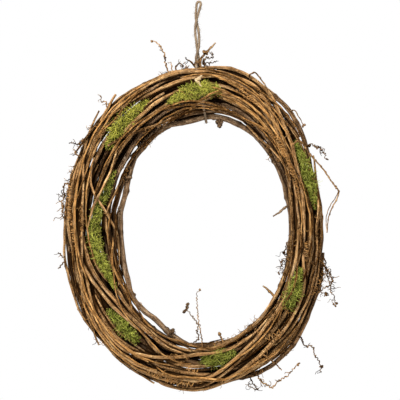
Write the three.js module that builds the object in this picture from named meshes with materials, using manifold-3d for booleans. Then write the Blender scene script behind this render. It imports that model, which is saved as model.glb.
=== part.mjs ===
// An oval grapevine wreath with moss tufts and a twine hanger.
//
// Long canes are wound round and round an oval hoop, one over another, and their
// own spring holds them together. Each cane is one solid that runs for up to three
// turns. A twine tie binds the core at the top, the last canes were wound over it,
// and its two ends rise as a twisted hanging loop. Seven tufts of moss are tucked
// into the gaps between the canes.
//
// Millimetres and degrees, +Z up, +X to the right and -Y to the front. The origin
// is the bearing point of the hanging loop: the underside of the twine at its top.

import * as THREE from 'three';
import { mergeVertices } from 'three/addons/utils/BufferGeometryUtils.js';
import Module from 'manifold-3d';

const wasm = await Module();
wasm.setup();

// The driving dimensions.

const WREATH_WIDTH = 332;
const WREATH_HEIGHT = 405;
const HOLE_WIDTH = 211;
const HOLE_HEIGHT = 273;
const HOLE_RIGHT_OF_CENTRE = 12.5; // the band is wider on its left side
const HOLE_BELOW_CENTRE = 2.5;
const BAND_DEPTH = 46; // between the centres of the front and back canes
const HOOK_ABOVE_CENTRE = 282;
const CENTRE_LEFT_OF_HOOK = 3.6;
const TWINE_DIAMETER = 2.8;
const CANE_GAP = 0.5; // left between neighbouring canes
const MOSS_GAP = 0.7; // left between a tuft and the canes that it lies on
const SHOOT_GAP = 0.6; // left between a side shoot and the canes that it passes
const TIE_GAP = 1; // the tie crosses canes that run aslant
const TIE_FRONT = -15; // the depth of the front of the canes that the tie binds
const KNOT_RADIUS = 2; // of the middle line of the knot's turns
const KNOT_SITS = 2.3; // height of the knot's middle over the top of the tie
const KNOT_RIGHT = 2.2; // of the tie's highest point
const END_TAPER = 0.65; // a cane's end against its full thickness
const THIN_CANE = 3.6; // canes up to this diameter have four sides, others five
const THIN_SHOOT = 2.5; // side shoots up to this have three sides, others five

// How finely the winding is worked out.

const STATIONS = 40; // cross-sections in one turn of the hoop
const STEP = 360 / STATIONS;
const TIE_CORNERS = 28;
const HANGER_STEPS = 32;

// How the strands push each other apart as they settle.

const ROUNDS = 800;
const PUSH = 0.5; // share of a push that a round carries out
const MOSS_YIELDS = 0.75; // moss takes this share of a push between it and a cane
const PRESS = 0.06; // how hard the outer shoots and the moss are pressed on
const FIRM_AT_FIRST = 0.16; // how strongly a move is evened out along its strand
const FIRM_AT_LAST = 0.02;
const SPRING = 0.03; // share of its move by which a strand springs back in a round
const SPRING_ENDS = 0.8; // share of the rounds after which it no longer does
const BEND_ROUNDS = 30;
const BEND = 0.6; // share of an overlap by which a side shoot moves in a round
const ROOT_POINTS = 3; // points of a side shoot that may lie inside its own cane

// The core and back canes wander across the band in slow waves.

const LANE_WAVES = 0.62; // waves of the lane in a turn, and of the depth
const DEPTH_WAVES = 0.81;
const LANE_DRIFT = 0.05; // how far the lane shifts outwards in a turn

// Moss.

const LOCKS_PER_STATION = 5; // locks of moss along one station of a tuft
const LOCK_RADIUS = 0.66;
const LOCK_REACH = [3.5, 8]; // shortest and longest
const LOCK_FAN = 1.25; // how far to either side they lean, in radians
const LUMPS = 0.05; // unevenness of a tuft's core
const THICK_TUFT = 7; // a tuft with a larger radius has eight sides, others six

// The hoop. A place in it is an angle, a lane and a depth: the angle clockwise from
// the top as seen from the front, the lane 0 at the hole's edge and 1 at the outer one.

const radians = (degrees) => (degrees * Math.PI) / 180;
const mix = (a, b, share) => a + (b - a) * share;
const clamped = (share) => Math.min(Math.max(share, 0), 1);

function ovalPoint(degrees, width, height, right, below) {
  const t = radians(degrees);
  return new THREE.Vector2(
    -CENTRE_LEFT_OF_HOOK + right + (width / 2) * Math.sin(t),
    -HOOK_ABOVE_CENTRE - below + (height / 2) * Math.cos(t),
  );
}
const innerPoint = (degrees) =>
  ovalPoint(degrees, HOLE_WIDTH, HOLE_HEIGHT, HOLE_RIGHT_OF_CENTRE, HOLE_BELOW_CENTRE);
const outerPoint = (degrees) => ovalPoint(degrees, WREATH_WIDTH, WREATH_HEIGHT, 0, 0);
const bandWidth = (degrees) => innerPoint(degrees).distanceTo(outerPoint(degrees));

// The point that lies u millimetres outwards from the hole's edge, at depth v.
function placeInBand(degrees, u, v) {
  const inner = innerPoint(degrees);
  const outwards = outerPoint(degrees).sub(inner).normalize();
  return new THREE.Vector3(inner.x + outwards.x * u, v, inner.y + outwards.y * u);
}

// The band's section is an oval: its half depth falls off towards both edges.
const WIDEST_ACROSS = 0.97;
function halfDepth(lane) {
  const across = Math.min(Math.abs(2 * lane - 1), WIDEST_ACROSS);
  return (BAND_DEPTH / 2) * Math.sqrt(1 - across * across);
}

// The winding plan. Waypoints are [angle, lane, depth], with depth -1 at the front of
// the band and 1 at its back. Angles past 360 are the cane's next turn.
const CANES = [
  { name: 'cane_tan_long', diameter: 4.8, way: [
    [-4, 0.92, -0.2], [8, 0.96, -0.3], [20, 1.03, -0.6], [30, 0.98, -0.9], [36, 0.9, -1],
    [43, 0.72, -1], [51, 0.62, -1], [60, 0.48, -1], [70, 0.41, -1], [80, 0.36, -1], [95, 0.33, -1],
    [105, 0.42, -1], [114, 0.6, -1], [130, 0.65, -1], [147, 0.66, -1], [160, 0.75, -0.95],
    [170, 0.86, -0.8], [180, 0.94, -0.6], [192, 0.96, -0.4], [205, 0.93, -0.4], [217, 0.86, -0.7],
    [230, 0.9, -0.7], [245, 0.87, -0.8], [257, 0.83, -0.9], [267, 0.89, -0.8], [285, 0.93, -0.7],
    [315, 0.92, -0.6], [345, 0.9, -0.7], [360, 0.9, -0.8], [375, 0.9, -0.9], [384, 0.93, -0.9],
    [390, 0.86, -1], [396, 0.72, -1], [402, 0.53, -1], [407, 0.43, -1], [413, 0.33, -1],
    [425, 0.17, -0.8], [435, 0.1, -0.6], [450, 0.07, -0.4], [480, 0.07, -0.4], [510, 0.1, -0.5],
    [538, 0.2, -0.7], [550, 0.26, -0.8], [580, 0.26, -0.9], [600, 0.3, -0.9], [607, 0.37, -0.8],
    [620, 0.6, -0.7], [632, 0.68, -0.9], [645, 0.69, -0.9], [660, 0.64, -0.4]] },
  { name: 'cane_amber_long', diameter: 4.4, way: [
    [-56, 0.76, -0.4], [-38, 0.79, -0.8], [-15, 0.77, -1], [0, 0.8, -1], [10, 0.84, -1],
    [20, 0.8, -1], [30, 0.72, -0.9], [38, 0.63, -0.8], [47, 0.5, -0.8], [55, 0.42, -0.8],
    [62, 0.36, -0.8], [70, 0.29, -0.9], [80, 0.22, -0.9], [95, 0.22, -0.9], [110, 0.25, -0.9],
    [125, 0.31, -0.9], [140, 0.33, -1], [150, 0.38, -1], [160, 0.49, -1], [170, 0.65, -1],
    [178, 0.79, -0.9], [190, 0.77, -0.9], [200, 0.79, -0.9], [212, 0.84, -0.9], [222, 0.88, -0.9],
    [235, 0.86, -0.9], [245, 0.8, -1], [257, 0.77, -1], [270, 0.8, -0.9], [285, 0.84, -0.8],
    [300, 0.85, -0.8], [330, 0.86, -0.8], [355, 0.88, -0.9], [368, 0.86, -0.9], [380, 0.7, -0.9],
    [390, 0.6, -0.9], [400, 0.5, -0.8], [408, 0.38, -0.8], [420, 0.28, -0.9], [432, 0.18, -0.8],
    [450, 0.14, -0.7], [470, 0.14, -0.7], [490, 0.19, -0.8], [510, 0.25, -0.8], [525, 0.3, -0.7],
    [540, 0.3, -1], [550, 0.38, -1], [556, 0.45, -1], [562, 0.54, -1], [568, 0.65, -1],
    [576, 0.77, -1], [585, 0.82, -1], [597, 0.8, -0.9], [612, 0.73, -0.9], [625, 0.77, -0.8],
    [645, 0.76, -0.9], [660, 0.7, -0.6]] },
  { name: 'cane_dark_outer', diameter: 6.0, way: [
    [8, 0.95, 0.1], [20, 0.97, -0.1], [32, 1.0, -0.1], [42, 1.01, -0.1], [52, 0.97, -0.2],
    [62, 0.82, -0.2], [72, 0.72, -0.1], [85, 0.68, 0], [97, 0.76, 0], [107, 0.95, -0.1],
    [120, 0.98, 0], [129, 1.07, 0], [140, 1.1, 0], [150, 1.06, -0.1], [160, 0.95, -0.3],
    [170, 0.88, -0.4], [182, 0.89, -0.3], [195, 0.94, -0.1], [210, 0.98, 0], [225, 0.95, -0.1],
    [240, 0.97, 0], [252, 0.93, 0.2], [270, 0.92, 0.3], [300, 0.95, 0.2], [330, 0.93, 0.2],
    [360, 0.9, 0.3], [380, 0.94, 0.5], [400, 0.85, 0.6], [420, 0.75, 0.8]] },
  { name: 'cane_grey_inner', diameter: 7.2, way: [
    [183, 0.18, -0.3], [193, 0.14, -0.2], [203, 0.09, -0.1], [215, 0.05, -0.1], [225, 0.09, -0.3],
    [233, 0.13, -0.5], [241, 0.1, -0.4], [250, 0.05, -0.2], [262, 0.03, -0.1], [276, 0.04, -0.1],
    [290, 0.03, -0.1], [300, 0.07, -0.2], [312, 0.13, -0.3], [325, 0.14, -0.4], [335, 0.11, -0.4],
    [346, 0.04, -0.2], [356, 0.05, -0.2], [366, 0.09, -0.3], [378, 0.1, -0.3], [395, 0.1, -0.3],
    [410, 0.1, -0.3], [425, 0.08, -0.2], [440, 0.08, -0.1], [460, 0.08, 0], [480, 0.1, 0],
    [505, 0.12, 0.1], [525, 0.14, 0.2]] },
  { name: 'cane_grey_second', diameter: 6.4, way: [
    [222, 0.2, -0.5], [238, 0.18, -0.5], [255, 0.17, -0.5], [270, 0.22, -0.6], [282, 0.25, -0.7],
    [292, 0.24, -0.7], [305, 0.23, -0.7], [320, 0.25, -0.8], [333, 0.3, -0.9], [345, 0.33, -0.9],
    [357, 0.32, -0.8], [367, 0.33, -0.7], [377, 0.34, -0.9], [387, 0.32, -0.9], [397, 0.27, -0.9],
    [408, 0.2, -0.8], [420, 0.14, -0.6], [440, 0.17, -0.2], [460, 0.2, 0.1], [490, 0.25, 0.3],
    [520, 0.25, 0.4]] },
  { name: 'cane_brown_middle', diameter: 5.4, way: [
    [268, 0.3, -0.5], [290, 0.32, -0.7], [300, 0.34, -0.8], [310, 0.37, -0.9], [322, 0.38, -0.9],
    [336, 0.41, -0.8], [347, 0.45, -0.7], [360, 0.5, -0.4], [370, 0.47, -0.6], [380, 0.42, -0.9],
    [390, 0.4, -0.9], [400, 0.34, -0.8], [412, 0.27, -0.6], [430, 0.35, -0.5], [445, 0.45, -0.5],
    [460, 0.5, -0.5], [475, 0.5, -0.3], [490, 0.5, -0.3], [500, 0.5, -0.6], [510, 0.5, -0.8],
    [520, 0.6, -0.8], [530, 0.72, -0.8], [540, 0.7, -0.7], [552, 0.66, -0.8], [570, 0.68, -0.8],
    [585, 0.73, -0.9], [597, 0.7, -0.8], [610, 0.6, -0.5]] },
  { name: 'cane_tan_middle', diameter: 4.8, way: [
    [278, 0.44, -0.7], [292, 0.43, -0.9], [300, 0.44, -1], [307, 0.47, -1], [315, 0.49, -1],
    [325, 0.48, -1], [335, 0.51, -1], [346, 0.56, -0.7], [358, 0.62, -0.4], [370, 0.58, -0.8],
    [380, 0.55, -0.9], [390, 0.5, -0.9], [400, 0.43, -0.9], [410, 0.4, -0.7], [422, 0.55, -0.4],
    [435, 0.62, -0.4], [450, 0.6, -0.7], [465, 0.66, -0.8], [475, 0.72, -0.8], [485, 0.76, -0.7],
    [497, 0.83, -0.7], [510, 0.84, -0.8], [522, 0.88, -0.7], [535, 0.93, -0.5], [550, 0.88, -0.7],
    [565, 0.92, -0.5], [580, 0.92, -0.5], [595, 0.93, -0.5], [610, 0.9, -0.6], [630, 0.88, -0.7]] },
  { name: 'cane_brown_bottom', diameter: 5.0, way: [
    [38, 0.8, -0.6], [46, 0.78, -0.6], [56, 0.75, -0.3], [68, 0.7, -0.3], [80, 0.68, -0.5],
    [95, 0.7, -0.6], [108, 0.8, -0.7], [120, 0.84, -0.7], [133, 0.91, -0.6], [147, 0.93, -0.5],
    [158, 0.86, -0.7], [168, 0.78, -0.8], [178, 0.7, -0.8], [190, 0.7, -0.9], [200, 0.7, -0.8],
    [212, 0.68, -0.8], [225, 0.7, -0.7], [238, 0.66, -0.6], [247, 0.62, -0.9], [256, 0.63, -1],
    [264, 0.7, -1], [274, 0.74, -0.9], [290, 0.76, -0.9], [303, 0.77, -0.9], [315, 0.8, -0.6],
    [330, 0.79, -0.5]] },
  { name: 'cane_tan_left', diameter: 4.4, way: [
    [171, 0.48, -0.3], [186, 0.53, -0.9], [197, 0.56, -0.8], [206, 0.5, -0.8], [214, 0.37, -0.9],
    [222, 0.37, -1], [230, 0.42, -1], [237, 0.49, -1], [245, 0.56, -1], [252, 0.66, -1],
    [260, 0.72, -1], [270, 0.75, -0.9], [285, 0.8, -0.9], [300, 0.89, -0.8], [308, 0.88, -0.8],
    [315, 0.94, -0.6], [321, 1.01, -0.4], [326, 1.08, -0.3]] },
  { name: 'cane_umber_left', diameter: 4.8, way: [
    [189, 0.36, -0.8], [200, 0.34, -0.8], [210, 0.31, -0.9], [220, 0.32, -0.9], [230, 0.36, -1],
    [238, 0.42, -1], [246, 0.51, -1], [254, 0.6, -1], [262, 0.66, -1], [272, 0.7, -1],
    [285, 0.73, -0.9], [296, 0.7, -0.8], [305, 0.7, -0.7], [318, 0.66, -0.2], [335, 0.68, -0.3],
    [350, 0.72, -0.6], [362, 0.7, -0.5], [374, 0.69, -0.9], [384, 0.64, -1], [392, 0.55, -0.9],
    [400, 0.48, -0.7], [410, 0.5, -0.5], [425, 0.62, -0.2], [440, 0.62, -0.6], [455, 0.6, -0.8],
    [468, 0.6, -0.6], [480, 0.75, -0.3]] },
  { name: 'cane_thin_rim', diameter: 3.4, way: [
    [196, 0.97, -0.2], [206, 0.94, -0.3], [216, 0.95, -0.2], [228, 0.98, -0.3], [240, 1.03, -0.2],
    [248, 0.99, -0.4], [258, 1.02, -0.3], [266, 0.97, -0.5], [280, 0.97, -0.4], [300, 0.97, -0.3],
    [318, 0.98, -0.3], [330, 0.95, -0.3], [345, 0.89, -0.4], [362, 0.93, -0.5], [374, 0.96, -0.6],
    [384, 1.0, -0.6], [398, 0.93, -0.5]] },
  { name: 'cane_dark_left', diameter: 6.2, way: [
    [198, 0.5, -0.3], [216, 0.6, -0.35], [236, 0.62, -0.4], [255, 0.52, -0.4], [275, 0.58, -0.4],
    [295, 0.6, -0.35], [315, 0.55, -0.3], [335, 0.46, -0.3]] },
  { name: 'cane_dark_upper', diameter: 5.6, way: [
    [255, 0.34, -0.3], [280, 0.42, -0.5], [300, 0.5, -0.4], [318, 0.38, -0.35], [332, 0.24, -0.2],
    [345, 0.17, -0.1], [360, 0.18, -0.1], [378, 0.26, -0.1], [400, 0.34, -0.1]] },
];

// Thin shoots that cross over the others on the front of the band.
const SHOOTS = [
  { name: 'shoot_cross_down', diameter: 3.0, way: [
    [252, 0.12, -0.8], [262, 0.08, -0.8], [271, 0.12, -1], [276, 0.22, -1.1], [281, 0.4, -1.2],
    [286, 0.56, -1.2], [292, 0.68, -1.1], [298, 0.72, -1]] },
  { name: 'shoot_cross_up', diameter: 3.0, way: [
    [262, 0.68, -1], [271, 0.62, -1.1], [277, 0.56, -1.2], [283, 0.49, -1.3], [289, 0.44, -1.2],
    [296, 0.4, -1.1], [303, 0.42, -1.1], [309, 0.46, -1.1]] },
  { name: 'shoot_brown_cross', diameter: 4.0, way: [
    [299, 0.67, -0.7], [307, 0.58, -1], [313, 0.46, -1.2], [320, 0.35, -1.2], [327, 0.26, -1.1],
    [336, 0.21, -1], [346, 0.22, -1], [354, 0.3, -1.1], [361, 0.41, -1.3], [369, 0.56, -1.4],
    [376, 0.66, -1.2]] },
  { name: 'shoot_cut_top', diameter: 4.2, way: [
    [310, 0.56, -0.4], [318, 0.54, -0.6], [327, 0.56, -0.9], [336, 0.61, -1.1], [345, 0.67, -1.2]] },
  { name: 'shoot_right_pair', diameter: 3.2, way: [
    [72, 0.55, -0.6], [82, 0.54, -1], [95, 0.51, -1], [105, 0.48, -0.8], [116, 0.4, -0.3]] },
  { name: 'shoot_bottom_thin', diameter: 3.6, way: [
    [158, 0.56, -0.7], [168, 0.58, -0.5], [178, 0.6, -0.8], [190, 0.6, -1], [202, 0.61, -1],
    [212, 0.6, -0.9], [224, 0.66, -1], [236, 0.68, -0.9], [248, 0.72, -0.8]] },
  { name: 'shoot_right_steep', diameter: 3.4, way: [
    [27, 0.95, -1], [33, 0.84, -1.2], [38, 0.7, -1.2], [45, 0.53, -1.2], [53, 0.42, -1.2],
    [63, 0.26, -1.2], [75, 0.13, -1.1], [90, 0.1, -0.9], [105, 0.13, -0.9], [120, 0.1, -0.6]] },
  { name: 'shoot_right_outer', diameter: 3.2, way: [
    [62, 0.88, -0.6], [70, 0.76, -0.9], [80, 0.68, -1.1], [92, 0.6, -1.1], [104, 0.7, -1],
    [118, 0.77, -0.9], [132, 0.8, -0.9], [146, 0.74, -0.6]] },
  { name: 'shoot_right_inner', diameter: 3.0, way: [
    [26, 0.24, -0.8], [38, 0.2, -0.9], [50, 0.28, -1.1], [61, 0.35, -1.2], [75, 0.3, -1.1],
    [88, 0.28, -1.2], [101, 0.33, -1.1], [118, 0.28, -0.7]] },
  { name: 'shoot_top_right', diameter: 3.0, way: [
    [12, 0.7, -1], [20, 0.62, -1.2], [28, 0.5, -1.2], [36, 0.36, -1.2], [46, 0.26, -1],
    [58, 0.16, -0.7]] },
  { name: 'shoot_bottom_steep', diameter: 3.4, way: [
    [144, 0.44, -1], [156, 0.52, -1.2], [166, 0.7, -1.2], [174, 0.85, -1.1], [182, 0.94, -0.7],
    [196, 0.97, -0.5]] },
  { name: 'shoot_bottom_rise', diameter: 3.2, way: [
    [186, 0.46, -1], [195, 0.46, -1.2], [204, 0.6, -1.2], [213, 0.76, -1.1], [225, 0.86, -0.9],
    [238, 0.94, -0.7], [252, 0.95, -0.5], [264, 0.93, -0.4]] },
  { name: 'shoot_left_bow', diameter: 3.2, way: [
    [224, 0.99, -0.7], [236, 0.86, -1.1], [248, 0.76, -1.2], [260, 0.64, -1.2], [272, 0.62, -1.2],
    [284, 0.66, -1.1], [296, 0.8, -1.1], [306, 0.93, -0.8], [316, 1.03, -0.4]] },
  { name: 'shoot_left_inner', diameter: 3.2, way: [
    [240, 0.3, -0.8], [250, 0.18, -0.9], [262, 0.22, -0.9], [276, 0.3, -1], [290, 0.2, -0.8],
    [304, 0.17, -0.7], [318, 0.14, -0.4]] },
  { name: 'shoot_top_left', diameter: 3.4, way: [
    [292, 0.96, -0.6], [304, 0.88, -1], [316, 0.8, -1.2], [328, 0.73, -1.2], [340, 0.76, -1.2],
    [350, 0.86, -0.9], [358, 0.95, -0.4]] },
];

const HIDDEN_CANES = [
  ['core_outer', 9.0, 20, 1.9, 0.68, 0.05, 0.1, 0.25, 0],
  ['core_inner', 9.0, 200, 1.9, 0.4, 0.05, 0.1, 0.25, 120],
  ['back_inner', 7.0, 60, 1.95, 0.27, 0.85, 0.17, 0.12, 40],
  ['back_low', 6.4, 130, 1.95, 0.38, 1.0, 0.16, 0.1, 170],
  ['back_high', 6.2, 250, 1.95, 0.58, 1.0, 0.18, 0.1, 290],
  ['back_outer', 6.8, 320, 1.95, 0.78, 0.85, 0.12, 0.12, 80],
  ['back_rim', 5.4, 95, 1.35, 0.86, 0.55, 0.1, 0.2, 357],
];

// Moss tufts: [angle, lane, depth, radius] along each tuft.
const MOSS = [
  { name: 'moss_top', way: [
    [-21, 0.44, -0.9, 3], [-14, 0.52, -1, 5], [-5, 0.56, -1, 6.5], [3, 0.6, -1, 8],
    [9, 0.6, -1, 7.5], [12, 0.62, -1, 4]] },
  { name: 'moss_top_left', way: [
    [-56, 0.58, -1, 3], [-50, 0.64, -1, 5], [-42, 0.64, -1, 5.5], [-33, 0.62, -1, 5],
    [-26, 0.6, -0.9, 3]] },
  { name: 'moss_right_upper', way: [
    [53, 0.72, -0.9, 3], [58, 0.7, -1, 5], [65, 0.68, -1, 5], [72, 0.66, -1, 6.5],
    [82, 0.66, -0.9, 3]] },
  { name: 'moss_right_lower', way: [
    [107, 0.38, -1, 3.5], [113, 0.42, -1, 5.5], [119, 0.44, -1, 8], [124, 0.44, -1, 9],
    [127, 0.44, -1, 9]] },
  { name: 'moss_bottom', way: [
    [162, 0.4, -0.9, 5], [167, 0.4, -0.9, 7], [173, 0.44, -0.9, 8.5], [179, 0.43, -0.9, 7],
    [183, 0.37, -1, 3.5]] },
  { name: 'moss_left_lower', way: [
    [213, 0.52, -1, 5], [219, 0.52, -1, 6.5], [226, 0.53, -1, 6.5], [233, 0.57, -1, 5],
    [237, 0.64, -1, 2.5]] },
  { name: 'moss_left', way: [
    [243, 0.3, -1, 2.5], [249, 0.33, -1, 4], [256, 0.41, -1, 5.5], [263, 0.47, -1, 7],
    [270, 0.49, -1, 7], [277, 0.46, -1, 5.5], [284, 0.38, -1, 5], [291, 0.33, -1, 3.5],
    [297, 0.33, -1, 2.5]] },
];

// Side shoots and tendrils that stand out of the bundle: [x, y, z] waypoints. Each
// grows out of the cane that lies nearest to its first waypoint.
const SIDE_SHOOTS = [
  // Above the top, left of the twine: a tall tendril with a bud, then arches and curls.
  { thick: 1.7, way: [
    [-40.7, -7, -80], [-42, -6, -74], [-43, -6, -68], [-44, -5, -62.5], [-46.5, -5, -58.5],
    [-49, -5, -54], [-52.5, -4, -50.5], [-58.5, -4, -47.5]] },
  { thick: 1.3, way: [[-34.5, -7, -82], [-33.5, -6, -79], [-35.5, -5, -75.5], [-39, -5, -75]] },
  { thick: 1.8, way: [[-29, -9, -81], [-26.5, -9, -77.5], [-23.5, -8, -76], [-20.5, -8, -79.5]] },
  { thick: 2.2, way: [[-6, -7, -79.5], [-9.5, -8, -74.5], [-15, -8, -71.5], [-16.5, -8, -70]] },
  // Right of the twine: a jointed stub, a coiled tendril under it and a wisp.
  { thick: 3.0, way: [[2, -3, -71], [9, -3, -62.5], [21, -3, -50]] },
  { thick: 1.2, way: [
    [6, -6, -72], [9.5, -6, -69], [14, -6, -69.5], [17.5, -5, -67.5], [16, -5, -63.5],
    [12, -4, -62.5]] },
  { thick: 1.2, way: [[9, -6, -76], [17.5, -5, -75], [24, -4, -72.5]] },
  // Upper right: a bent twig and a curly tendril past the end of the outer cane.
  { thick: 1.9, way: [[64, -12, -90], [70, -12, -88], [78, -10, -97], [86, -10, -110]] },
  { thick: 1.5, way: [[119, -13, -135], [127, -12, -147], [131, -10, -154]] },
  { thick: 1.3, way: [
    [141, -13, -178], [145.5, -13, -180], [147, -13, -182.5], [149.5, -13, -180.5],
    [153, -12, -184], [152.5, -12, -187], [157, -11, -188.5], [158.5, -11, -196.5]] },
  // Right: a long thin stem that stands off the rim, turns at a joint and comes back.
  { thick: 1.9, way: [
    [125.5, -24, -174], [133, -24, -183], [140.5, -23, -193], [155.5, -18, -209.5],
    [164, -15, -222], [175, -11, -236], [172, -10, -246], [166.5, -10, -256], [161.5, -11, -270],
    [160, -12, -288]] },
  // Right rim: a tangle of tendrils with withered buds.
  { thick: 1.5, way: [
    [156, -12, -320], [158, -12, -324.5], [156.5, -12, -328], [161.5, -12, -336],
    [166.5, -11, -347], [165, -10, -353], [155.5, -10, -357], [152.5, -10, -361], [159, -10, -365]] },
  { thick: 1.4, way: [
    [156.5, -12, -330], [164, -9, -355], [165, -8, -362], [168.5, -8, -367], [170.5, -8, -377]] },
  // Right edge of the hole: two stubs and a curly tendril between them.
  { thick: 2.8, way: [[108, -6, -256], [101, -7, -262], [93, -8, -267]] },
  { thick: 1.2, way: [
    [110, -12, -300], [108, -13, -307], [106, -13, -314], [109, -12, -318], [103, -12, -323],
    [104, -11, -328], [101, -10, -332], [100, -10, -338]] },
  { thick: 3.0, way: [[94, -4, -367], [87, -5, -360], [80, -6, -354]] },
  // Short straight sticks that cross the front, at the right and at the lower right.
  { thick: 2.0, way: [[132, -25, -313], [138, -27.5, -322], [145, -27, -332]] },
  { thick: 2.0, way: [[79, -24, -438.5], [89, -22, -446], [96.5, -20, -452], [103, -18, -459]] },
  // Lower right: a wavy shoot at the rim and a looping one under the bottom.
  { thick: 1.5, way: [
    [128, -14, -420], [130, -14, -426], [135.5, -13, -430], [139, -13, -428], [144, -12, -434],
    [143.5, -12, -438.5], [149, -11, -447], [152.5, -10, -456], [150.5, -9, -463.5]] },
  { thick: 1.5, way: [
    [73, -12, -466], [79, -12, -474.5], [83, -12, -476.5], [91.5, -11, -481], [96.5, -11, -475],
    [102.5, -11, -471], [110, -12, -466.5], [118, -12, -457.5], [124, -11, -451.5]] },
  { thick: 1.3, way: [[66, -9, -474], [74, -8, -484], [69, -8, -482.5], [58, -7, -477]] },
  // Bottom of the hole: a forked tendril with withered buds, and a stub beside it.
  { thick: 1.5, way: [
    [0, -8, -419.5], [-2.5, -8, -412], [-1, -8, -404], [-5, -8, -397], [-10.5, -7, -389.5],
    [-13.5, -7, -385.6], [-19, -7, -384.8]] },
  { thick: 1.2, way: [
    [3, -9, -418], [0, -9, -400], [-1.5, -9, -390], [-2.5, -9, -373], [-2.5, -9, -363.5],
    [1, -9, -359.5]] },
  { thick: 2.2, way: [[29, -8, -422], [27.5, -8, -418.5], [25, -8, -413.5]] },
  // Knots of the innermost cane: stumps of branches that were cut off.
  { thick: 6.4, way: [[-83, -6, -367], [-80, -6, -363.5]] },
  { thick: 5.6, way: [[-34, -6, -412], [-31.5, -6, -407.5]] },
  { thick: 3.4, way: [[-37, -7, -414], [-40, -8, -416.5]] },
  { thick: 5.6, way: [[26, -4, -149], [26.5, -4, -157]] },
  // Left rim: curls, a cut stub and a fork.
  { thick: 1.3, way: [
    [-115.5, -8, -130], [-116, -8, -125], [-118, -8, -123.5], [-121.5, -8, -124], [-123, -8, -116.5]] },
  { thick: 1.3, way: [
    [-139.5, -8, -171], [-144, -8, -170.5], [-148, -8, -174.5], [-152, -8, -177.5],
    [-159, -8, -174.5]] },
  { thick: 1.5, way: [[-150, -8, -192], [-154, -8, -188], [-157, -8, -183]] },
  { thick: 1.5, way: [
    [-167, -8, -226], [-169.5, -8, -233], [-168, -8, -241], [-171.5, -8, -250], [-170, -8, -258],
    [-172, -8, -264], [-168, -8, -271]] },
  { thick: 1.7, way: [[-168, -9, -324], [-176, -9, -333]] },
  { thick: 1.5, way: [[-170, -10, -318], [-176, -9, -312]] },
];

// The two sides of the hanging loop from the knot up: [half their spacing, turn of
// the pair about the vertical, height, x of the pair's middle].
const HANGER = [
  [1.9, 20, -70.3, -1.9], [1.75, 70, -63, -1.8], [1.75, 130, -55.5, -1.5],
  [1.8, 175, -47.5, -1.6], [2.3, 185, -40.5, -2.2], [2.0, 190, -34, -2.8],
  [1.75, 235, -27, -3.2], [1.75, 295, -19, -3.2], [1.8, 340, -11.5, -2.1],
  [2.4, 358, -5.5, -0.9], [2.6, 360, -1.6, -0.3],
  [2.25, 360, -0.1, -0.1], [1.3, 360, 1, 0],
];
const HANGER_STANDS_UP = 60; // height over which it comes forwards to the hook's plane

// These are wound over the tie.
const OVER_TIE = ['cane_amber_long', 'shoot_brown_cross', 'moss_top'];

// The slope at waypoint j is that of the chord between its neighbours.
function slopeAt(way, j, axis) {
  const before = way[Math.max(j - 1, 0)];
  const after = way[Math.min(j + 1, way.length - 1)];
  return (after[axis] - before[axis]) / (after[0] - before[0]);
}

// A smooth line through the waypoints: the value that is a share along from waypoint i.
function valueAlong(way, i, share, axis) {
  const run = way[i + 1][0] - way[i][0];
  const square = share * share;
  const cube = square * share;
  return (2 * cube - 3 * square + 1) * way[i][axis]
    + (cube - 2 * square + share) * run * slopeAt(way, i, axis)
    + (3 * square - 2 * cube) * way[i + 1][axis]
    + (cube - square) * run * slopeAt(way, i + 1, axis);
}

const THINNEST_TUFT = 2;
const ROUNDING = 1e-6;

// A strand is the line through the waypoints, sampled at the stations: k counts them,
// u is the distance out from the hole's edge and v the depth.
function strandOf({ name, way, diameter }) {
  const first = Math.ceil(way[0][0] / STEP - ROUNDING);
  const last = Math.floor(way[way.length - 1][0] / STEP + ROUNDING);
  const samples = [];
  for (let k = first; k <= last; k++) {
    const at = k * STEP;
    let i = 0;
    while (i < way.length - 2 && way[i + 1][0] < at) i++;
    const share = clamped((at - way[i][0]) / (way[i + 1][0] - way[i][0]));
    const lane = valueAlong(way, i, share, 1);
    const radius = diameter
      ? diameter / 2
      : Math.max(mix(way[i][3], way[i + 1][3], share), THINNEST_TUFT);
    samples.push({
      k,
      u: lane * bandWidth(at),
      v: valueAlong(way, i, share, 2) * halfDepth(lane),
      radius,
    });
  }
  samples[0].radius *= END_TAPER;
  samples[samples.length - 1].radius *= END_TAPER;
  return { name, samples };
}

function hiddenWay([name, diameter, first, turns, lane, depth, laneSwing, depthSwing, phase]) {
  const way = [];
  for (let a = 0; a <= turns * 360; a += STEP * 2) {
    const at = first + a;
    const drift = (a / 360 - turns / 2) * LANE_DRIFT;
    way.push([
      at,
      lane + laneSwing * Math.sin(radians(at * LANE_WAVES + phase)) + drift,
      depth + depthSwing * Math.cos(radians(at * DEPTH_WAVES + phase)),
    ]);
  }
  return { name, diameter, way };
}

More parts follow.
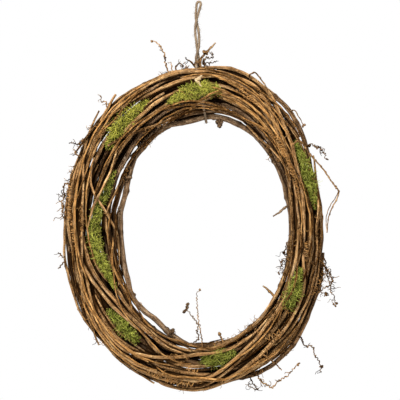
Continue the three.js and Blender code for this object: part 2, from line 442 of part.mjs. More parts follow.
// The places of two strands' stretches between the same stations are taken across
// their own lean, and compared where they come nearest.
function pushApart([a0, a1], [b0, b1], run) {
  const leanU = run / Math.hypot(run, a1.u - a0.u + b1.u - b0.u);
  const leanV = run / Math.hypot(run, a1.v - a0.v + b1.v - b0.v);
  const startU = (a0.u - b0.u) * leanU;
  const startV = (a0.v - b0.v) * leanV;
  const wayU = (a1.u - b1.u) * leanU - startU;
  const wayV = (a1.v - b1.v) * leanV - startV;
  const along = clamped(-(startU * wayU + startV * wayV) / (wayU * wayU + wayV * wayV + 1e-9));
  const offU = startU + along * wayU;
  const offV = startV + along * wayV;
  const far = Math.hypot(offU, offV);
  const [near0, near1] = [a0.radius + b0.radius, a1.radius + b1.radius];
  const need = a0.moss || b0.moss
    ? mix(near0, near1, along) + MOSS_GAP
    : Math.max(near0, near1) + CANE_GAP;
  if (far >= need) return;
  const met = far <= 0.01; // where they run through each other, the plan tells the side
  const normalU = met ? 0 : offU / far;
  const normalV = met ? Math.sign(a0.plan.v - b0.plan.v) || 1 : offV / far;
  let shareOfA = 0.5;
  if (a0.moss !== b0.moss) shareOfA = a0.moss ? 1 - MOSS_YIELDS : MOSS_YIELDS;
  const force = (need - far) / ((1 - along) ** 2 + along ** 2);
  for (const [sample, amount] of [
    [a0, force * shareOfA * (1 - along)], [a1, force * shareOfA * along],
    [b0, -force * (1 - shareOfA) * (1 - along)], [b1, -force * (1 - shareOfA) * along],
  ]) {
    sample.pushU += amount * normalU;
    sample.pushV += amount * normalV;
  }
}

// What is bound stays behind the tie's front, and what is wound over it in front.
function keepToTie(sample) {
  if (sample.over) {
    const limit = TIE_FRONT - TWINE_DIAMETER - TIE_GAP - sample.radius;
    sample.pushV += Math.min(0, limit - sample.v);
  } else {
    sample.pushV += Math.max(0, TIE_FRONT + sample.radius - sample.v);
  }
}

// Evens the moves of a strand out along it and lets it spring back to its plan.
function relax(samples, firmness, spring) {
  for (const axis of ['u', 'v']) {
    const moved = samples.map((sample) => sample[axis] - sample.plan[axis]);
    samples.forEach((sample, i) => {
      const before = moved[Math.max(i - 1, 0)];
      const after = moved[Math.min(i + 1, samples.length - 1)];
      sample[axis] += firmness * ((before + after) / 2 - moved[i]) - spring * moved[i];
    });
  }
}

// Moves the strands apart until none of them touch.
function settle(strands) {
  const slotOf = (k) => ((k % STATIONS) + STATIONS) % STATIONS;
  const bySlot = Array.from({ length: STATIONS }, () => []);
  for (const { name, samples } of strands) {
    for (const sample of samples) {
      sample.plan = { u: sample.u, v: sample.v };
      sample.pushU = 0;
      sample.pushV = 0;
      sample.over = OVER_TIE.includes(name);
      sample.moss = name.startsWith('moss');
      sample.loose = sample.moss || name.startsWith('shoot');
    }
    // Past its ends a strand keeps one more stretch of room, so that none meets its end.
    const [first, last] = [samples[0], samples[samples.length - 1]];
    bySlot[slotOf(first.k - 1)].push([first, first]);
    samples.slice(1).forEach((next, i) => bySlot[slotOf(samples[i].k)].push([samples[i], next]));
    bySlot[slotOf(last.k)].push([last, last]);
  }
  const middles = bySlot.map((_, k) => placeInBand(k * STEP, bandWidth(k * STEP) / 2, 0));
  const runs = middles.map((m, k) => 2 * m.distanceTo(middles[(k + 1) % STATIONS]));
  for (let round = 0; round < ROUNDS; round++) {
    for (const [k, slot] of bySlot.entries()) {
      slot.forEach((a, i) => {
        for (const b of slot.slice(i + 1)) pushApart(a, b, runs[k]);
      });
    }
    const spring = SPRING * Math.max(0, 1 - round / (SPRING_ENDS * ROUNDS));
    const firmness = mix(FIRM_AT_FIRST, FIRM_AT_LAST, round / ROUNDS);
    for (const { samples } of strands) {
      for (const sample of samples) {
        if (slotOf(sample.k) === 0) keepToTie(sample);
        if (sample.loose) sample.pushV += PRESS;
        sample.u += PUSH * sample.pushU;
        sample.v += PUSH * sample.pushV;
        sample.pushU = 0;
        sample.pushV = 0;
      }
      relax(samples, firmness, spring);
    }
  }
}

const strands = [...CANES, ...SHOOTS, ...HIDDEN_CANES.map(hiddenWay), ...MOSS].map(strandOf);
settle(strands);

const allSegments = strands.flatMap((strand) => {
  const { samples } = strand;
  strand.points = samples.map((sample) => placeInBand(sample.k * STEP, sample.u, sample.v));
  return strand.points.slice(1).map((end, i) => ({
    strand,
    line: new THREE.Line3(strand.points[i], end),
    radius: Math.max(samples[i].radius, samples[i + 1].radius),
  }));
});

// Tubes and solids.

const DEPTHWARDS = new THREE.Vector3(0, 1, 0);

// A closed tube: a capped rod bent along the points, with its own radius at each.
function bentRod(points, radii, sides) {
  const steps = points.length - 1;
  const rod = new THREE.CylinderGeometry(1, 1, steps, sides, steps);
  const frames = points.map((_, i) => {
    const before = points[Math.max(i - 1, 0)];
    const along = points[Math.min(i + 1, steps)].clone().sub(before).normalize();
    const side = DEPTHWARDS.clone().cross(along).normalize();
    return [side, side.clone().cross(along)];
  });
  const corner = new THREE.Vector3();
  const { position } = rod.attributes;
  for (let i = 0; i < position.count; i++) {
    corner.fromBufferAttribute(position, i);
    const station = Math.round(corner.y + steps / 2);
    const [side, front] = frames[station];
    const { x, z } = corner;
    corner.copy(points[station])
      .addScaledVector(side, x * radii[station])
      .addScaledVector(front, z * radii[station]);
    position.setXYZ(i, ...corner.toArray());
  }
  return rod;
}

// A line through points that are one step apart, whatever their spacing.
class Route extends THREE.Curve {
  constructor(points) {
    super();
    this.points = points;
  }

  getUtoTmapping(u) {
    return u;
  }

  getPoint(t, target = new THREE.Vector3()) {
    const last = this.points.length - 1;
    const i = Math.min(Math.floor(t * last), last - 1);
    return target.lerpVectors(this.points[i], this.points[i + 1], t * last - i);
  }
}

// A closed tube of one thickness with a ring of corners at each point.
function sweptTube(points, radius, sides) {
  const section = new THREE.Shape(Array.from({ length: sides }, (_, i) => {
    const turn = (2 * Math.PI * i) / sides;
    return new THREE.Vector2(radius * Math.cos(turn), radius * Math.sin(turn));
  }));
  return new THREE.ExtrudeGeometry(section, {
    steps: points.length - 1,
    extrudePath: new Route(points),
    bevelEnabled: false,
  });
}

const SAME_POINT = 1e-4;

function solidOf(geometry) {
  const bare = new THREE.BufferGeometry().setAttribute('position', geometry.attributes.position);
  if (geometry.index) bare.setIndex(geometry.index);
  const merged = mergeVertices(bare, SAME_POINT);
  return new wasm.Manifold(new wasm.Mesh({
    numProp: 3,
    vertProperties: merged.attributes.position.array,
    triVerts: Uint32Array.from(merged.index.array),
  }));
}

function geometryOf(solid) {
  const { vertProperties, triVerts } = solid.getMesh();
  return new THREE.BufferGeometry()
    .setAttribute('position', new THREE.BufferAttribute(vertProperties, 3))
    .setIndex(new THREE.BufferAttribute(triVerts, 1));
}

// The tie goes round everything bound at the top: a loop whose corners lie where
// the lines that just clear the canes on neighbouring sides cross.

const bound = strands.flatMap(({ samples }) => samples)
  .filter((sample) => sample.k % STATIONS === 0 && !sample.over);
function clearOf(turn) {
  const reach = Math.max(...bound.map(
    ({ u, v, radius }) => u * Math.cos(turn) + v * Math.sin(turn) + radius));
  return reach + TWINE_DIAMETER / 2 + TIE_GAP;
}
function tieCorner(i) {
  const step = (2 * Math.PI) / TIE_CORNERS;
  const turn = i * step;
  const near = clearOf(turn);
  const aside = (clearOf(turn + step) - near * Math.cos(step)) / Math.sin(step);
  return placeInBand(
    0,
    near * Math.cos(turn) - aside * Math.sin(turn),
    near * Math.sin(turn) + aside * Math.cos(turn),
  );
}
const knotCentre = placeInBand(0, clearOf(0) + KNOT_SITS, 0);
knotCentre.x += KNOT_RIGHT;
const TIE_END = new THREE.Vector3(0, 0.9, 0); // its ends go into the knot side by side
const tieRoute = [
  knotCentre.clone().add(TIE_END),
  ...Array.from({ length: TIE_CORNERS - 1 }, (_, i) => tieCorner(i)),
  knotCentre.clone().sub(TIE_END),
];
allSegments.push(...tieRoute.slice(1).map((end, i) => ({
  strand: null,
  line: new THREE.Line3(tieRoute[i], end),
  radius: TWINE_DIAMETER / 2,
})));

// Side shoots.

// Bends a thin shoot clear of every cane and tuft but the one that it grows from.
function bendClear(points, radius, own) {
  const near = new THREE.Vector3();
  for (let round = 0; round < BEND_ROUNDS; round++) {
    for (const [i, point] of points.entries()) {
      for (const { strand, line, radius: thick } of allSegments) {
        if (i === 0 || (strand === own && i < ROOT_POINTS)) continue;
        line.closestPointToPoint(point, true, near);
        const short = thick + radius + SHOOT_GAP - near.distanceTo(point);
        if (short > 0) point.addScaledVector(point.clone().sub(near).normalize(), BEND * short);
      }
    }
  }
}

// The cane nearest to a point, and the point on its middle line there.
function rootNear(point) {
  let best = { far: Infinity };
  for (const { strand, line, radius } of allSegments) {
    if (!strand || strand.name.startsWith('moss')) continue;
    const foot = line.closestPointToPoint(point, true, new THREE.Vector3());
    const far = foot.distanceTo(point) - radius;
    if (far < best.far) best = { far, strand, foot };
  }
  return best;
}

// Moss.

// A repeatable random number from 0 to 1.
function randomFrom(seed) {
  let state = seed;
  return () => {
    state = (state * 48271) % 2147483647;
    return state / 2147483647;
  };
}

// A lock of moss: from its root in the tuft it rises and bends over along the band.
function lockLine(root, out, along, thick, reach, sweep) {
  const at = (height, aside) => root.clone()
    .addScaledVector(out, height)
    .addScaledVector(along, sweep * reach * aside);
  return [
    at(thick * 0.35, 0),
    at(thick + 0.4, 0),
    at(thick + reach * 0.45, 0.5),
    at(thick + reach * 0.5, 1.3),
  ];
}

// A tuft is a lumpy core that fills its gap between the canes, with curling locks
// rooted in it that lean to the front and lie over the canes beside it.
function mossTuft(strand, seed) {
  const random = randomFrom(seed);
  const { points } = strand;
  const radii = strand.samples.map(({ radius }) => radius * (1 - LUMPS * random()));
  let tuft = solidOf(bentRod(points, radii, Math.max(...radii) > THICK_TUFT ? 8 : 6));
  const steps = points.length - 1;
  for (let i = 0; i < steps * LOCKS_PER_STATION; i++) {
    const at = (i + random()) / LOCKS_PER_STATION;
    const k = Math.min(Math.floor(at), steps - 1);
    const root = points[k].clone().lerp(points[k + 1], at - k);
    const thick = mix(radii[k], radii[k + 1], at - k);
    const along = points[k + 1].clone().sub(points[k]).normalize();
    const fan = mix(-LOCK_FAN, LOCK_FAN, random());
    const out = DEPTHWARDS.clone().cross(along).normalize()
      .multiplyScalar(Math.sin(fan))
      .addScaledVector(DEPTHWARDS, -Math.cos(fan));
    const lock = lockLine(root, out, along, thick, mix(...LOCK_REACH, random()), mix(-1, 1, random()));
    bendClear(lock, LOCK_RADIUS, strand);
    tuft = tuft.add(solidOf(sweptTube(lock, LOCK_RADIUS, 3)));
  }
  return tuft;
}

// The canes with their side shoots, and the tufts.

const solids = new Map();
for (const [i, strand] of strands.entries()) {
  const { name, samples, points } = strand;
  if (name.startsWith('moss')) {
    solids.set(name, mossTuft(strand, 1 + i * 7907));
    continue;
  }
  const sides = 2 * samples[1].radius <= THIN_CANE ? 4 : 5;
  solids.set(name, solidOf(bentRod(points, samples.map(({ radius }) => radius), sides)));
}
for (const { thick, way } of SIDE_SHOOTS) {
  const { strand, foot } = rootNear(new THREE.Vector3(...way[0]));
  const line = [foot, ...way.map((point) => new THREE.Vector3(...point))];
  bendClear(line, thick / 2, strand);
  const shoot = solidOf(sweptTube(line, thick / 2, thick > THIN_SHOOT ? 5 : 3));
  solids.set(strand.name, solids.get(strand.name).add(shoot));
}

// Twine: the tie with its knot, and the hanging loop above it. The loop's two sides
// rise twisted round each other, part below a crossing and meet at the top.

// A turn of the knot lies round the tie's ends: [how far it leans, its height].
const KNOT_TURNS = [[24, -1.1], [-16, 1.1]];
let tie = solidOf(sweptTube(tieRoute, TWINE_DIAMETER / 2, 5));
for (const [lean, height] of KNOT_TURNS) {
  const turn = new THREE.TorusGeometry(KNOT_RADIUS, TWINE_DIAMETER * 0.45, 5, 10)
    .rotateX(radians(90))
    .rotateY(radians(lean))
    .translate(knotCentre.x, knotCentre.y, knotCentre.z + height);
  tie = tie.add(solidOf(turn));
}

function hangerPoint([half, turn, height, middle], side) {
  const inKnot = Math.max(0, 1 - (height - knotCentre.z) / HANGER_STANDS_UP);
  return new THREE.Vector3(
    middle + side * half * Math.cos(radians(turn)),
    knotCentre.y * inKnot + side * half * Math.sin(radians(turn)),
    height,
  );
}
const hangerRoute = [
  ...HANGER.map((row) => hangerPoint(row, 1)),
  new THREE.Vector3(0, 0, TWINE_DIAMETER / 2),
  ...HANGER.map((row) => hangerPoint(row, -1)).reverse(),
];
const hangerLine = new THREE.CatmullRomCurve3(hangerRoute).getSpacedPoints(HANGER_STEPS);

// The wreath.

const material = (color, roughness) =>
  new THREE.MeshStandardMaterial({ color, roughness, metalness: 0 });
const LOOKS = [
  ['moss', material(0x7f8f2c, 0.95)],
  ['core', material(0x3b2a1e, 0.85)],
  ['back', material(0x4a3526, 0.85)],
  ['cane_dark', material(0x4a3526, 0.85)],
  ['cane_grey', material(0x6e5a48, 0.85)],
  ['twine', material(0x7a6a55, 0.9)],
  ['', material(0x8f6438, 0.75)],
];

const wreath = new THREE.Group();
function addPiece(name, geometry) {
  const [, look] = LOOKS.find(([start]) => name.startsWith(start));
  const mesh = new THREE.Mesh(geometry, look);
  mesh.name = name;
  wreath.add(mesh);
}
for (const [name, solid] of solids) addPiece(name, geometryOf(solid));
addPiece('twine_tie', geometryOf(tie));
addPiece('twine_hanger', sweptTube(hangerLine, TWINE_DIAMETER / 2, 8));

export default wreath;
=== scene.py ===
"""An oval grapevine wreath with moss tufts and a twine hanging loop.

The canes are bark-covered tubes along the settled winding of the solids, with nodes,
buds and tendrils. The moss is made of curling fibres and the twine of three plies.
Sizes in this file are millimetres until a mesh is made, which is in metres.
"""

import math

import bpy
import numpy as np
from bpy.props import FloatProperty, FloatVectorProperty, IntProperty, PointerProperty
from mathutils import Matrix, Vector


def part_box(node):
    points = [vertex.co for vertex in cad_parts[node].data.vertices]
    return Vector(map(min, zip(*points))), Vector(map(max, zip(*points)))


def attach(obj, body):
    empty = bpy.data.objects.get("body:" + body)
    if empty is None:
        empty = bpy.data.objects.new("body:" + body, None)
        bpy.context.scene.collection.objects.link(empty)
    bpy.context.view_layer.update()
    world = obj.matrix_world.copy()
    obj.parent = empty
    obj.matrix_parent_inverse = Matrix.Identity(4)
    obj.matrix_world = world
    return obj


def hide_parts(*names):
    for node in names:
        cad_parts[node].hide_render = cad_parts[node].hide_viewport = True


bl_info = {
    "name": "Grapevine Wreath",
    "version": (1, 0, 0),
    "blender": (4, 5, 0),
    "location": "View3D > Sidebar > Wreath",
    "description": "Makes the canes, moss, twine and studio of an oval grapevine wreath",
    "category": "Object",
}

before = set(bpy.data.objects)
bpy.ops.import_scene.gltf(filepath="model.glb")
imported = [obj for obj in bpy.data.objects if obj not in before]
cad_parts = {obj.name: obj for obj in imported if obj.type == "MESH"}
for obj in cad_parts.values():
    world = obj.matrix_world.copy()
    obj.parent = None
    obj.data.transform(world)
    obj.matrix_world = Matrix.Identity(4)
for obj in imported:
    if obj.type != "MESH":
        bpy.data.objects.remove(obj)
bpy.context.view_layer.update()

# Sizes of the solids, in millimetres.
WREATH_WIDTH = 332
WREATH_HEIGHT = 405
HOLE_WIDTH = 211
HOLE_HEIGHT = 273
HOLE_RIGHT_OF_CENTRE = 12.5
HOLE_BELOW_CENTRE = 2.5
BAND_DEPTH = 46
HOOK_ABOVE_CENTRE = 282
CENTRE_LEFT_OF_HOOK = 3.6
CANE_GAP = 0.5
MOSS_GAP = 0.7
SHOOT_GAP = 0.6
LEAST_MOSS = 2  # the thinnest radius of a tuft
END_TAPER = 0.65  # share of its radius that a strand has left at its ends
TWINE_DIAMETER = 2.8
TIE_GAP = 1
TIE_FRONT = -15
TIE_CORNERS = 28
TIE_END = (0, 0.9, 0)
KNOT_RADIUS = 2
KNOT_SITS = 2.3
KNOT_RIGHT = 2.2
KNOT_TURNS = [[24, -1.1], [-16, 1.1]]  # lean and height
HANGER_STANDS_UP = 60
OVER_TIE = ("cane_amber_long", "shoot_brown_cross", "moss_top")

# How the strands are wound, pushed apart and bent clear, as in the solids.
STATIONS = 40
STEP = 360 / STATIONS
LANE_WAVES = 0.62
DEPTH_WAVES = 0.81
LANE_DRIFT = 0.05
WIDEST = 0.97  # the band's section is an ellipse that is cut off here
ROUNDS = 800
PUSH = 0.5
MOSS_YIELDS = 0.75
PRESS = 0.06
FIRM_AT_FIRST = 0.16
FIRM_AT_LAST = 0.02
SPRING = 0.03
SPRING_ENDS = 0.8
BEND_ROUNDS = 30
BEND = 0.6
ROOT_POINTS = 3
BOX_SLACK = 1.5

# Values of this scene alone. Lengths are millimetres, and lights and camera are in metres.
TURN = 2 * math.pi
FINE = 10  # fine stations in one step of the winding
FINE_TURN = FINE * STATIONS
FAR_AWAY = 1000.0
TINY = 1e-6
SEEDS = 9999  # a drawn seed is below this
FRAME_SIZE = 0.5012  # width of the view at the wreath
FRAME_CENTRE = (0.00125, -0.2469)
SENSOR = 36  # millimetres, as Blender counts it
FLOOR_RADIUS = 2.2
FLOOR_HEIGHT = -0.75
FLOOR_CORNERS = 96
WORLD_LIGHT = 0.14  # strength of the white world on the wreath; the camera sees it in full
AIM = (0, 0, -0.25)
LIGHTS = [  # name, place, size and power
    ("key_softbox", (-0.7, -1.6, 0.9), 0.6, 70), ("fill_softbox", (1.5, -1.5, -0.1), 1.2, 11.5),
    ("top_softbox", (0.1, -0.3, 1.3), 0.9, 16), ("back_softbox", (0.3, 1.8, 0.5), 1.2, 6),
]
WAVE_FACTORS = (1.0, 0.57, 0.31)  # height and length of the three sines of a wandering
# Painted shade: how near other strands and how deep in the bundle the bark is darkened.
PAINTED_SHADE_REACH = 5.0
PAINTED_SHADE_DEPTH = 8.0
SKY_SHARE = 0.8  # how much of the sky one strand can take
HORIZON = 0.35  # strands a little behind a point of skin still shade it
VINE_GAP = 0.2
VINE_SINKS = 2.2  # how many radii a thin vine's ends sink in
VINE_REACH = 4  # fine stations over which its height is evened
VINE_AROUND = 6
VINE_BARK = (30, 0.35, 0.04)  # node spacing, node swelling and ridges
BACK_TINT = 0.3
THIN_VINE = -1  # owner of every thin vine in the table, and number of one that isn't in it yet
NEW_VINE = -2
MOSS_BERTH = 0.08  # lanes within which a vine would cover a tuft's middle
NODE_LENGTH = 3.2
NODE_SWELL = 0.16
BUD_AHEAD = 1.5
BUD_LENGTH = 2.0
BUD_SWELL = 0.3
BARK_RIDGES = (2, 3, 5)  # ridges round the cane, in three sets
THICK_CANE = 3  # from this radius on, a cane has more points round it
SHRINK = 0.95  # the bark's mean radius against the solid's, because its ridges stand out
TENDRIL_THICK = 1.75  # thinner side shoots are tendrils
CRINKLE = 0.75
CRINKLE_PITCH = 4.6
# level of painted shade on a side shoot's bark
SHOOT_PAINTED_SHADE = 0.08
SHOOT_AROUND = 6
SHOOT_SHADE = 0.14  # how much darker a side shoot's bark is than its cane's
SHOOT_SHADES = {2: 0.3, 3: 0.35, 4: 0.2, 5: 0.4, 6: 0.35, 8: -0.3, 13: -0.3}  # those that differ
STRAY_CLUMP = (-30, 7, 4.0, 5.0)  # depth, number, spread and length, as in CURLS
# How curls are drawn: their steps, ranges of length, bend and radius, the tip's thickness, the
# range of their lightness, and their level of painted shade.
SHOOT_CURLS = (14, (0.5, 1.5), (1.6, 3.0), (0.35, 0.62), 0.7, (-0.3, 0.2), 0.1)
BARK_CURLS = (12, (0.5, 1.6), (1.2, 2.6), (0.28, 0.52), 0.6, (0.1, 0.9), 0.12)
CANE_SEED = 5
MOSS_SEED = 100
MOSS_WIDTHS = [1, 1, 0.95, 0.9, 0.75, 0.4]  # a moss fibre's width, from root to tip
MOSS_FAN = 0.95  # radians by which the fibres spread from straight to the front, and the most
MOSS_FAN_MOST = 2.1
MOSS_CORE = 0.62  # radius of the core, dark as painted shade, against the tuft's
PLIES = 3
LOOP_POINTS = 320
LOOP_AROUND = 18
LOOP_HAIRS = 260
TIE_POINTS = 240
TIE_AROUND = 12
TIE_HAIRS = 90
END_POINTS = 30
END_HAIRS = 12
DRY_MOSS = (0.20, 0.13, 0.04, 1)
BARK_NOISE = {  # frequency along and across the grain in 1/mm, detail, roughness and distortion
    "fibres": (0.03, 0.75, 5.0, 0.7, 0.5), "fine": (0.2, 1.9, 3.0, 0.7), "broad": (0.022, 0.06, 2.0, 0.5),
    "grit": (0.55, 0.5, 4.0, 0.7), "worn": (0.08, 0.3, 5.0, 0.7, 0.8), "grey": (0.04, 0.22, 5.0, 0.7, 0.8),
    "specks": (0.5, 0.6, 2.0, 0.6), "rings": (1.1, 0.2, 2.0, 0.6),
}
# The mark that darkens the bark where strands shut it in is painted shade.
BARK_STEPS = {  # where each mark begins to show and where it shows in full
    "main": (0.36, 0.56), "worn": (0.47, 0.66), "raised": (0.42, 0.62), "grey": (0.54, 0.7),
    "cracks": (0.004, 0.028), "specks": (0.6, 0.72), "rings": (0.6, 0.68), "painted_shade": (0.04, 0.52),
}
BARK_SHARES = {  # how much each mark counts for
    "fibres": 0.6, "fine": 0.4, "broad": 0.3, "grit": 0.55, "tint": 0.5, "grey": 0.55, "cracks": 0.8,
    "rings": 0.6, "marks": 0.85, "node": 0.6, "uneven grime": 0.5, "painted_shade": 0.95, "crack depth": 0.35,
}
CRACK_LEVEL = 0.47  # level of the fibres at which the bark cracks
BARK_ROUGHNESS = {"To Min": 0.95, "To Max": 0.6}
BARK_SHINE = 0.03
BARK_RELIEF = 0.0012
MOSS_NOISE = (90.0, 3.0, 0.6)  # frequency in 1/m, detail and roughness
MOSS_PATCHY = 0.9
MOSS_STOPS = (0.1, 0.45, 0.85)  # levels of the shade, the green and the tips
MOSS_YELLOWS = (0.3, 0.8)
MOSS_DRIES = (0.9, 0.97)
MOSS_FINISH = {"Roughness": 0.8, "Specular IOR Level": 0.2}
TWINE_FIBRES = (0.5, 4.0, 4.0, 0.6)  # as in BARK_NOISE
TWINE_PATCHES = (0.12, 0.3, 3.0, 0.6)
TWINE_SHARES = (0.6, 0.4)  # of the fibres and of the patches
TWINE_STOPS = (0.3, 0.5, 0.68)  # levels of the darkest fibre, in the groove's colour, the fibre and the pale fibre
TWINE_FINISH = {"Roughness": 0.9, "Specular IOR Level": 0.2}
TWINE_RELIEF = (0.6, 0.0004)  # strength and depth
WOOD = (0.42, 0.29, 0.16)

# Barks: the material, the slot or pieces that it is for, the setting of its main colour, the
# colours of cracks, worn patches, weathered patches and cut wood, how worn it is, and its contrast.
BARKS = [
    ("tan_bark", "bark_tan", "tan", (0.032, 0.012, 0.002), (0.74, 0.48, 0.22), (0.40, 0.29, 0.19),
     WOOD, 0.9, 1.0),
    ("brown_bark", "bark_dark", "brown", (0.018, 0.007, 0.0015), (0.50, 0.32, 0.17), (0.30, 0.22, 0.15),
     WOOD, 0.8, 1.0),
    ("grey_bark", "bark_grey", "grey", (0.03, 0.014, 0.005), (0.50, 0.35, 0.21), (0.36, 0.28, 0.20),
     WOOD, 0.8, 1.0),
    ("vine_bark", "vines", "golden", (0.03, 0.010, 0.001), (0.80, 0.50, 0.20), (0.42, 0.30, 0.18),
     (0.72, 0.55, 0.34), 0.5, 0.7),
]

